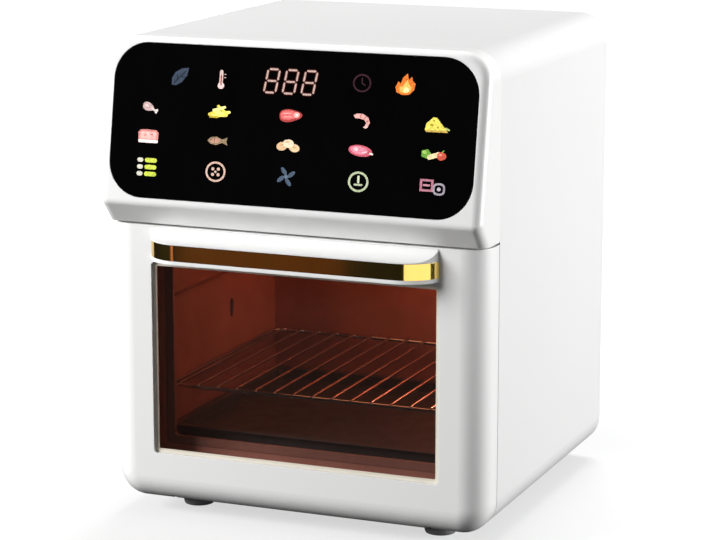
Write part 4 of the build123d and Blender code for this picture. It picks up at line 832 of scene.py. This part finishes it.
bead_rows = [((x, y, bead_level), (0, 0, 1), 0.0, bead_size) for x in bar_places for y in (y0, y1)]
bead_values = {"Pattern": bead, "Seed": 5, "Spin": 3.0, "Material": finishes["chrome"]}
beads = grow(on_points, points_mesh(bead_rows), bead_values)
bpy.data.objects.remove(bead)
rack_mesh = joined([frame_wire, bars, beads])
rack_mesh.shade_smooth()
make_piece("welded_rack", rack_mesh, "rack", finishes["chrome"], ("wire_rack",))

# %% [markdown]
# ## Pictures on the touch glass
# Behind the black glass, small coloured pictures of food and functions are lit from behind. Each is
# built as thin flat shapes on the slanted glass, with its colour painted on its corners, so that one
# finish lights them all. A helper turns panel millimetres, right and up from the middle of the lower
# edge, into a place on the glass. All the pictures are generic signs, drawn from ovals, bars and
# corners.

# %% Places on the panel
lean = math.radians(10)
panel_tall = 118 * MM
oval_steps = 28
cap_steps = 6
panel_low, panel_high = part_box("panel_glass")
panel_foot = Vector((0, panel_low[1], panel_high[2] - panel_tall * math.cos(lean)))
panel_up = Vector((0, math.sin(lean), math.cos(lean)))
panel_out = Vector((0, -math.cos(lean), math.sin(lean)))


def on_panel(u, v, out=0.0):
    """Place on the panel from millimetres right, up and out of the glass."""
    return panel_foot + Vector((u * MM, 0, 0)) + panel_up * v * MM + panel_out * out * MM


def oval(u, v, wide, tall, turn=0.0, lobes=0, depth=0.0):
    """Outline of an oval, turned in degrees, with optional soft lobes."""
    outline = []
    for step in range(oval_steps):
        way = math.tau * step / oval_steps
        reach = 1 + depth * math.cos(lobes * way)
        x, y = wide / 2 * reach * math.cos(way), tall / 2 * reach * math.sin(way)
        outline.append(rotated(x, y, math.radians(turn)))
    return at(u, v, *outline)


def bar(u0, v0, u1, v1, thick):
    """Outline of a straight bar with round ends."""
    way = math.atan2(v1 - v0, u1 - u0)
    outline = []
    for u, v, first in ((u0, v0, way + math.pi / 2), (u1, v1, way - math.pi / 2)):
        turns = [first + math.pi * step / cap_steps for step in range(cap_steps + 1)]
        outline += [(u + thick / 2 * math.cos(turn), v + thick / 2 * math.sin(turn)) for turn in turns]
    return outline


def at(u, v, *corners):
    """Outline from corners given about a middle."""
    return [(u + x, v + y) for x, y in corners]


print("panel foot", [round(part, 4) for part in panel_foot])

# %% Raise shapes and light them
def ink_finish():
    """Lit ink: its colour is painted on the piece, a little uneven, and glows gently."""
    material, tree, shader, place = start_finish("lit ink")
    paint = add(tree, "ShaderNodeVertexColor", layer_name="ink").outputs["Color"]
    patch = noise(tree, place, 700.0, 3.0)
    dimmer = tint(tree, span(tree, patch, 0.0, 0.45), paint, (0.0, 0.0, 0.0, 1))
    rough = span(tree, noise(tree, place, 900.0), 0.285, 0.45)
    wire_up(tree, shader, colour=dimmer, glow=dimmer, glow_strength=0.80, rough=rough, shine=0.3)
    return material


def painted(faces, paint, colour):
    """Write a colour on the corners of faces."""
    for face in faces:
        for corner in face.loops:
            corner[paint] = colour


def raise_shapes(name, u0, v0, shapes):
    """Thin shapes about a place on the glass, from rows of an outline, a colour and perhaps a hole."""
    work = bmesh.new()
    paint = work.loops.layers.float_color.new("ink")
    for layer, (outline, colour, *holes) in enumerate(shapes, start=1):
        sides = []
        for loop in (outline, *holes):
            under = [work.verts.new(on_panel(u0 + u, v0 + v)) for u, v in loop]
            over = [work.verts.new(on_panel(u0 + u, v0 + v, ink_base + ink_step * layer)) for u, v in loop]
            sides.append((under, over))
        faces = []
        for under, over in sides:
            faces += band(work, under, over)
        for outer, *inner in zip(*sides):
            faces += band(work, outer, inner[0]) if inner else [work.faces.new(outer)]
        bmesh.ops.recalc_face_normals(work, faces=faces)
        painted(faces, paint, screen(*colour))
    make_piece("icon_" + name, mesh_from(work, name), "housing", lit_ink)


lit_ink = ink_finish()
ink_base = 0.05
ink_step = 0.012
print("ink ready")

# %% [markdown]
# The pictures stand in a top row, with the digits between them, and in three rows of five below it.
# Sizes are in millimetres about each picture's own place. Colours are pale and warm, as lit ink looks;
# a few signs in the top and bottom rows are dim, because only some functions are on.

# %% Top row
columns = (-116.0, -58.0, 0.0, 58.0, 116.0)
rows = (23.5, 46.5, 69.0)
top_row = 93.5
dim_blue = (58, 68, 84)
pale = (205, 180, 172)
vein = (20, 24, 30)
timer_red = (58, 34, 42)
raise_shapes("leaf", -92, top_row, [
    ([(-7, -6.5), (-3.5, -6.8), (1.5, -4), (5.5, 1), (6.8, 6.8), (1, 6.2), (-4.5, 3), (-7, -1.5)], dim_blue),
    (bar(-5, -5, 4, 4, 0.7), vein),
    (bar(-2.5, -2.6, -2.8, 1.4, 0.6), vein),
    (bar(0.4, 0.4, 3.8, -0.8, 0.6), vein)])
raise_shapes("thermometer", columns[1], top_row, [
    (bar(0, -3, 0, 5.2, 2.9), pale),
    (oval(0, -5.2, 5.4, 5.0), (225, 195, 190)),
    (bar(0, -4.5, 0, 2.4, 1.0), (150, 60, 60)),
    (bar(2.6, 1.0, 3.6, 1.0, 0.6), pale),
    (bar(2.6, 3.4, 3.6, 3.4, 0.6), pale)])
raise_shapes("timer", 56, 96, [
    (oval(0, 0, 14.5, 13.5), timer_red, oval(0, 0, 12.0, 11.0)),
    (bar(0, 0, 0, 3.8, 0.9), timer_red),
    (bar(0, 0, 2.6, -1.6, 0.9), timer_red)])
raise_shapes("flame", 90, 97, [
    ([(-6.5, -6.2), (-2, -8), (3.5, -7.6), (7.2, -4), (8, 0.5), (5.6, 2.6), (5, 5.6), (2.6, 3.2), (1.4, 7.8),
      (-2, 4.6), (-3.6, 0.2), (-5.4, 1.8), (-7.6, -2.6)], (226, 120, 48)),
    (at(0, -0.6, (-4, -5), (0, -6.2), (4, -5), (5, -1.5), (3, 0.2), (1.6, 3.6), (-0.6, 1.0),
        (-2.4, -1.4), (-4.4, -1.6)), (246, 186, 96)),
    (oval(1, -4.2, 4.2, 4.0), (252, 226, 160))])

# %% First row of food
food = rows[2]
fat_line = (240, 170, 164)
shrimp_band = (168, 92, 88)
cheese_hole = (168, 142, 52)
raise_shapes("drumstick", columns[0], food, [
    (oval(-1.6, 0.4, 9.6, 6.4, -18, 3, 0.06), (186, 160, 158)),
    (bar(2, -1.2, 5.2, -2.6, 1.7), (214, 200, 196)),
    (oval(6.0, -2.2, 2.0, 2.0), (224, 214, 210)),
    (oval(5.2, -3.6, 2.0, 1.9), (224, 214, 210)),
    (oval(-2.6, 1.2, 3.6, 1.6, -18), (214, 190, 186))])
raise_shapes("fries", columns[1], food, [
    (bar(-8, -2.6, 1, 1.6, 2.2), (214, 196, 80)),
    (bar(-6, -3.4, 6, -2.6, 2.4), (236, 222, 104)),
    (bar(-2.5, -1.2, 8.4, -0.4, 2.1), (240, 230, 128)),
    (bar(-1, 3.8, 6.4, -1.6, 2.1), (226, 208, 88)),
    (bar(-4.6, 0.6, 4.4, 3.2, 2.1), (244, 236, 150)),
    (bar(-7.4, -4.4, -1, -4.4, 1.4), (190, 168, 60))])
raise_shapes("steak", columns[2], food, [
    (oval(0, 0, 18.4, 9.4, 4, 3, 0.09), (170, 66, 66)),
    (oval(-0.6, 0.4, 15.0, 6.8, 4, 3, 0.08), (216, 108, 106)),
    (oval(5.4, 0.6, 5.0, 4.2, 10), (238, 168, 158)),
    (oval(5.4, 0.6, 2.0, 1.6), (250, 224, 214)),
    (bar(-5.5, 1.4, 0.8, 1.8, 0.6), fat_line),
    (bar(-4.4, -1.2, 1.8, -0.8, 0.6), fat_line)])
raise_shapes("shrimp", columns[3], food, [
    ([(-7, 3.2), (-4.2, 4.6), (0.6, 4.4), (4.8, 2), (6.2, -1.8), (4.8, -4.6), (2.4, -4.4), (3.2, -2),
      (1.6, 0.2), (-2, 1.0), (-5.6, 1.0)], (222, 168, 160)),
    (bar(-1.6, 1.4, -1.2, 4.0, 0.6), shrimp_band),
    (bar(1.6, 0.6, 3.0, 2.8, 0.6), shrimp_band),
    (bar(3.2, -1.0, 5.2, -0.4, 0.6), shrimp_band),
    (at(3, -4.6, (-2.2, -0.6), (0, 0.6), (2.0, -0.4), (0.2, -1.6)), (236, 196, 188))])
raise_shapes("wedge", columns[4], food, [
    (at(0, -1, (-8.6, -3.4), (-7.6, 1.4), (-2.2, 6.2), (0.4, 5.8), (8.6, -3.4)), (226, 214, 96)),
    (at(0, -1, (-7.4, -4.8), (-8.6, -3.2), (8.8, -3.2), (9.4, -4.6)), (196, 166, 84)),
    (oval(-3.4, -0.6, 2.4, 2.0), cheese_hole),
    (oval(1.4, -2.2, 2.0, 1.6), cheese_hole),
    (oval(-1.8, 2.6, 1.6, 1.4), cheese_hole),
    (bar(7.6, -2.6, 10.2, -3.6, 1.3), (186, 196, 120))])

# %% Second row of food
food = rows[1]
crust = (206, 132, 126)
raise_shapes("toast", columns[0], food, [
    (at(0, 1, (-8.2, -3.4), (-8.6, 2.4), (-6.6, 4.2), (-1, 4.6), (6.6, 4.2), (8.6, 2.2), (8.2, -3.4)), crust),
    (at(0, 1, (-6.8, -2.6), (-7.0, 1.8), (-5.4, 3.0), (5.4, 3.0), (7.0, 1.6), (6.8, -2.6)), (230, 176, 168)),
    (bar(-7.2, -3.4, 7.2, -3.4, 2.3), (240, 226, 222)),
    (oval(-2.4, 1.2, 2.6, 1.6), crust),
    (oval(3.0, 1.8, 2.2, 1.4), crust)])
raise_shapes("fish", columns[1], food, [
    ([(-8.4, 0.4), (-5.4, 2.8), (-0.6, 3.4), (4.0, 1.4), (8.2, 3.2), (7.4, 0.2), (8.4, -2.8), (4.0, -1.0),
      (-0.8, -3.0), (-5.6, -2.2)], (142, 122, 96)),
    ([(-7.0, 0.0), (-4.6, 1.8), (0.0, 2.2), (3.4, 0.4), (-0.6, -1.4), (-5.0, -1.4)], (184, 140, 122)),
    (oval(-5.4, 0.8, 1.0, 1.0), (40, 32, 28)),
    (bar(-2.6, -1.4, -2.2, 1.8, 0.5), (112, 92, 70))])
raise_shapes("buns", columns[2], food, [
    (oval(-5.0, -0.6, 8.6, 6.4, 10), (214, 178, 138)),
    (oval(5.2, -1.4, 8.6, 6.0, -8), (222, 190, 150)),
    (oval(0.2, 1.6, 8.8, 6.2), (240, 216, 184)),
    (bar(-1.8, 2.6, 1.6, 3.2, 0.6), (196, 150, 106)),
    (bar(-6.6, 0.2, -3.8, 0.8, 0.6), (186, 140, 98)),
    (bar(4.0, -0.6, 6.8, -1.0, 0.6), (186, 140, 98))])
raise_shapes("ham", columns[3], food, [
    (oval(0, -0.2, 18.0, 8.8, -6, 2, 0.05), (196, 92, 108)),
    (oval(-1.0, 0.2, 13.4, 6.0, -6), (224, 138, 156)),
    (oval(-3.6, 0.8, 4.0, 2.4, -6), (242, 196, 200)),
    (bar(1.8, -1.6, 5.2, -0.6, 0.7), (244, 206, 206)),
    (bar(8.0, -1.8, 9.6, -2.2, 1.5), (226, 214, 206))])
raise_shapes("vegetables", columns[4], food, [
    (oval(-6.4, 0.8, 7.4, 6.4, 0, 5, 0.10), (106, 156, 62)),
    (oval(-7.2, 2.0, 3.4, 2.6, 0, 4, 0.1), (156, 196, 96)),
    (bar(-3.6, -1.6, 3.4, 0.8, 3.6), (226, 208, 160)),
    (oval(5.8, -0.4, 7.2, 6.0, 0, 3, 0.05), (196, 84, 66)),
    (oval(4.8, 0.6, 2.4, 1.6), (236, 150, 130)),
    (bar(6.2, 2.6, 7.4, 3.8, 0.8), (106, 156, 62))])

# %% Row of functions
low_row = rows[0]
rim = (206, 172, 156)
grid = []
for step in (-1, 0, 1):
    v = 5.2 * step
    grid.append((bar(-6.4, v, -4.6, v, 3.3), (204, 200, 186)))
    grid.append((bar(0, v, 6.8, v, 3.4), (192, 204, 78)))
jets = []
blades = []
for quarter in range(4):
    way = math.radians(45 + 90 * quarter)
    jets.append((oval(3.2 * math.cos(way), 3.0 * math.sin(way), 2.5, 2.4), rim))
    way = math.radians(25 + 90 * quarter)
    blade = oval(4.6 * math.cos(way), 4.4 * math.sin(way), 7.0, 3.2, 39 + 90 * quarter)
    blades.append((blade, (74, 88, 106)))
raise_shapes("menu", columns[0], low_row, grid)
steam = [(oval(0, 0, 16.6, 15.4), rim, oval(0, 0, 13.6, 12.4)), *jets, (oval(0, 0, 1.8, 1.8), rim)]
raise_shapes("steam", columns[1], low_row, steam)
raise_shapes("fan", columns[2], low_row, [(oval(0, 0, 3.0, 3.0), (96, 112, 132)), *blades])
raise_shapes("power", columns[3], low_row, [
    (oval(0, 0, 16.2, 15.2), (176, 186, 152), oval(0, 0, 13.0, 12.0)),
    (bar(0, -0.4, 0, 3.8, 1.7), (196, 204, 170)),
    (bar(-2.8, -2.2, 2.8, -2.2, 1.4), (176, 186, 152))])
raise_shapes("defrost", columns[4], low_row, [
    (at(-4, 1.0, (-5.6, -4.6), (-5.6, 4.4), (5.0, 4.4), (5.0, -4.6)), (176, 116, 132),
     at(-4, 1.0, (-3.8, -3.0), (-3.8, 2.8), (3.2, 2.8), (3.2, -3.0))),
    (bar(-6.6, 1.0, -2.2, 1.0, 1.4), (196, 136, 150)),
    (oval(5.4, -1.4, 10.0, 9.4, 0, 4, -0.05), (156, 148, 158), oval(5.4, -1.4, 7.0, 6.4, 0, 4, -0.05)),
    (oval(5.4, -1.4, 3.0, 2.8), (176, 168, 176))])

# %% [markdown]
# ## The digits
# The display shows three seven-segment eights: seven bars each, leaning a little to the right. One
# bar is modelled, a flat hexagon, and the first tree sets it twenty-one times. Behind them, dim
# copies a bit larger give the dark red glow that such a display has round its lit bars.

# %% Set the bars of the digits
digit_wide = 9.4
digit_tall = 17.4
digit_lean = math.radians(9)
digit_middles = (-16.4, -1.2, 14.0)
display_level = 94
bar_long = 7.6
bar_thick = 1.4
glow_margin = 1.2


def segment_pattern(length, thick, height, colour):
    """One flat six-sided bar, along X, in millimetres, with its ink colour."""
    half, side = length / 2, thick / 2
    right = [(half - side, side), (half, 0), (half - side, -side)]
    outline = [(-half, 0), (-half + side, side), *right, (-half + side, -side)]
    work = bmesh.new()
    paint = work.loops.layers.float_color.new("ink")
    under, over = [[work.verts.new((x, y, z)) for x, y in outline] for z in (0.0, height)]
    work.faces.new(under[::-1])
    work.faces.new(over)
    band(work, under, over)
    painted(work.faces, paint, colour)
    return in_scene(mesh_from(work, "segment"))


def digit_rows(out):
    """Rows for the bars of three eights, out of the glass by so many millimetres."""
    made = []
    for centre in digit_middles:
        for level_step in (-1, 0, 1):
            v = level_step * digit_tall / 2
            made.append((centre + v * math.tan(digit_lean), v, 0.0))
        for side in (-1, 1):
            for half in (-1, 1):
                v = half * digit_tall / 4
                u = centre + side * digit_wide / 2 + v * math.tan(digit_lean)
                made.append((u, v, math.pi / 2 - digit_lean))
    return [(on_panel(u, display_level + v, out), panel_out, turn, (MM, MM, MM)) for u, v, turn in made]


lit_bar = segment_pattern(bar_long, bar_thick, 0.06, screen(186, 160, 150))
halo_bar = segment_pattern(bar_long + glow_margin, bar_thick * 2, 0.03, screen(62, 20, 18))
digit_values = {"Seed": 1, "Spin": 0.0, "Material": lit_ink}
halo = grow(on_points, points_mesh(digit_rows(0.0)), {**digit_values, "Pattern": halo_bar})
lit = grow(on_points, points_mesh(digit_rows(0.02)), {**digit_values, "Pattern": lit_bar})
make_piece("display_digits", joined([halo, lit]), "housing", lit_ink)
bpy.data.objects.remove(lit_bar)
bpy.data.objects.remove(halo_bar)

# %% [markdown]
# ## The lamp's filament
# A small oven lamp has a coiled filament in its bulb. It is a helix, made as edges and
# turned to wire with the second tree. It glows, but the light itself comes from a lamp object, which
# gives less noise than a thin glowing wire.

# %% Wind the filament
def hot_finish():
    """Glowing wire, a little brighter in places."""
    material, tree, shader, place = start_finish("hot filament")
    warm = noise(tree, place, 1500.0)
    glow = tint(tree, span(tree, warm, 0.0, 1.0), (1.0, 0.45, 0.12, 1), (1.0, 0.62, 0.25, 1))
    rough = span(tree, warm, 0.4, 0.6)
    wire_up(tree, shader, colour=(0.3, 0.2, 0.15, 1), rough=rough, glow=glow, glow_strength=4.0)
    return material


bulb_low, bulb_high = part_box("lamp_bulb")
bulb_middle = (Vector(bulb_low) + Vector(bulb_high)) / 2
coil_turns = 7
coil_steps = 12
coil_radius = 1.1 * MM
coil_length = 7 * MM
helix = []
for step in range(coil_turns * coil_steps + 1):
    turn = math.tau * step / coil_steps
    along = (step / (coil_turns * coil_steps) - 0.5) * coil_length
    helix.append(bulb_middle + Vector((coil_radius * math.cos(turn), along, coil_radius * math.sin(turn))))
links = [(step, step + 1) for step in range(len(helix) - 1)]
thread = {"Sides": 6, "Corner radius": 0.0, "Wire radius": 0.22 * MM, "Material": hot_finish()}
filament = grow(edges_to_wire, edge_mesh(helix, links), thread)
filament.shade_smooth()
make_piece("lamp_filament", filament, "housing")

# %% [markdown]
# ## Floor, light and camera
# The picture is a studio shot on white. It has a pale floor and three big soft lights: one on the
# right and a little behind, one on the left and in front, and one above and behind, which lights the
# top but leaves the chin and the door under it in shade. The front is lit less than the sides, which
# is what gives a white box its shape. Three cards are seen only as reflections: they give the gold
# strip its brown middle, its warm line on the left and its bright right end. Inside, a lamp behind
# its lens and a weak red glow from above light the cavity. The camera stands to the right and
# slightly above, far away with a long lens, so that upright lines stay almost parallel.

# %% Floor
def floor_finish():
    """Pale to the camera and whiter far away, but dark in reflections, like a cleared studio."""
    material, tree, shader, place = start_finish("pale floor")
    rays = add(tree, "ShaderNodeLightPath").outputs
    pale, in_bounces, in_gloss = 0.32, 0.05, 0.012
    speckle = span(tree, noise(tree, place, 3.0), 0.97, 1.0)
    for_bounce = span(tree, rays["Is Glossy Ray"], in_bounces, in_gloss, 0.0, 1.0)
    tone = product(tree, between(tree, rays["Is Camera Ray"], for_bounce, pale), speckle)
    away = add(tree, "ShaderNodeVectorMath", {0: place}, operation="LENGTH").outputs["Value"]
    haze = span(tree, away, 0.62, 1.0, 0.25, 1.1)
    glow = product(tree, haze, rays["Is Camera Ray"])
    wire_up(tree, shader, colour=tone, rough=0.75, shine=0.0, glow=(1, 1, 1, 1), glow_strength=glow)
    return material


floor_reach = 4.0
work = bmesh.new()
bmesh.ops.create_grid(work, x_segments=8, y_segments=8, size=floor_reach)
floor = in_scene(mesh_from(work, "floor"))
floor.data.materials.append(floor_finish())
floor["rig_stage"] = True
print("floor reaches", floor_reach, "m from the oven")

# %% Surroundings
world = bpy.data.worlds.new("studio")
bpy.context.scene.world = world
world.use_nodes = True
sky = world.node_tree
sky.nodes.clear()
rays = add(sky, "ShaderNodeLightPath").outputs
room_light = 0.12
room_in_gloss = 0.014
room = span(sky, rays["Is Glossy Ray"], room_light, room_in_gloss, 0.0, 1.0)
level = between(sky, rays["Is Camera Ray"], room, 1.0)
backdrop = add(sky, "ShaderNodeBackground", {"Color": (1, 1, 1, 1), "Strength": level}).outputs[0]
add(sky, "ShaderNodeOutputWorld", {"Surface": backdrop})
bpy.context.scene.view_settings.view_transform = "Standard"
print("surroundings ready, room light", room_light)

# %% Studio lights
def toward(azimuth, elevation):
    """Direction in degrees, seen from the oven: 0 is the front, 90 the right, and elevation is up."""
    round_about, up = math.radians(azimuth), math.radians(elevation)
    flat = math.cos(up)
    return Vector((math.sin(round_about) * flat, -math.cos(round_about) * flat, math.sin(up)))


def aim(thing, target):
    """Turn a light or a camera to face a place."""
    thing.rotation_euler = (target - thing.location).to_track_quat("-Z", "Y").to_euler()


def soft_light(name, size, watts, colour):
    """Flat light that faces down until it is aimed."""
    lamp = bpy.data.lights.new(name, "AREA")
    lamp.shape = "RECTANGLE"
    lamp.size, lamp.size_y = size
    lamp.energy = watts
    lamp.color = colour
    return in_scene(lamp)


def panel_light(name, azimuth, elevation, distance, size, watts, colour=(1, 1, 1), target=(0, 0, 0.18)):
    """Soft light that stands in a direction from its target and faces it."""
    holder = soft_light(name, size, watts, colour)
    holder.location = Vector(target) + toward(azimuth, elevation) * distance
    aim(holder, Vector(target))
    return holder


panel_light("light right", azimuth=108, elevation=3, distance=1.8, size=(1.5, 1.3), watts=58)
left = panel_light("light left", azimuth=-52, elevation=21, distance=2.6, size=(1.3, 1.3), watts=104)
above = panel_light("light above", azimuth=180, elevation=62, distance=2.6, size=(1.3, 1.3), watts=58)
left.visible_glossy = above.visible_glossy = False
print("light left at", [round(part, 2) for part in left.location])

# %% Reflection cards
card_distance = 0.55
front_middle = (0, -0.12, 0.17)
strip_low, strip_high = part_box("handle_strip")
strip_middle = (-0.0165, strip_low[1], (strip_low[2] + strip_high[2]) / 2)
# Each row: name, azimuth, elevation, size, watts, colour and target.
cards = (
    ("card left", -39, -4, (0.03, 0.3), 0.018, (1.0, 0.4, 0.4), front_middle),
    ("card middle", -24.4, -11.8, (0.16, 0.06), 0.0024, (1.0, 0.28, 0.08), strip_middle),
    ("card right", 50, -4, (0.75, 0.3), 1.0, (1.0, 1.0, 1.0), front_middle),
)
for title, azimuth, elevation, size, watts, colour, target in cards:
    card = panel_light(title, azimuth, elevation, card_distance, size, watts, colour, target)
    card.visible_camera = card.visible_diffuse = card.visible_transmission = False
print("cards:", [row[0] for row in cards])

# %% Light in the cavity
lens_low, lens_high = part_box("lamp_lens")
bulb = bpy.data.lights.new("oven lamp", "POINT")
bulb.energy = 0.44
bulb.color = (1.0, 0.38, 0.20)
bulb.shadow_soft_size = 12 * MM
bulb_gap = 16 * MM
bulb_place = (Vector(lens_low) + Vector(lens_high)) / 2
bulb_place.x = lens_low[0] - bulb_gap
in_scene(bulb).location = bulb_place
cavity_low, cavity_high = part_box("oven_cavity")
heat = soft_light("heat from above", size=(0.15, 0.15), watts=0.12, colour=(1.0, 0.30, 0.12))
heat_gap = 12 * MM
heat.location = (0, (cavity_low[1] + cavity_high[1]) / 2, cavity_high[2] - heat_gap)

# %% Camera
camera_azimuth = 22.19
camera_elevation = 11.93
camera_distance = 2.0076
camera_target = Vector((0.0171, -0.0480, 0.1913))
eye = bpy.data.cameras.new("camera")
eye.sensor_width = 36.0
eye.lens = 128.7
camera = in_scene(eye)
camera.location = camera_target + camera_distance * toward(camera_azimuth, camera_elevation)
aim(camera, camera_target)
bpy.context.scene.camera = camera
print("camera at", [round(part, 3) for part in camera.location])

# %% [markdown]
# ## Measure
# The imported oven's box and the dressed oven's box are both printed, axis by axis, in millimetres, so that
# any growth over the imported oven shows.

# %% Measure and finish
dressed_box = [list(corner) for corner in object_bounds()]
for axis, letter in enumerate("xyz"):
    ends = [round(corner[axis] / MM, 2) for box in (cad_box, dressed_box) for corner in box]
    print(letter, "from and to, packed and dressed, in mm:", ends)
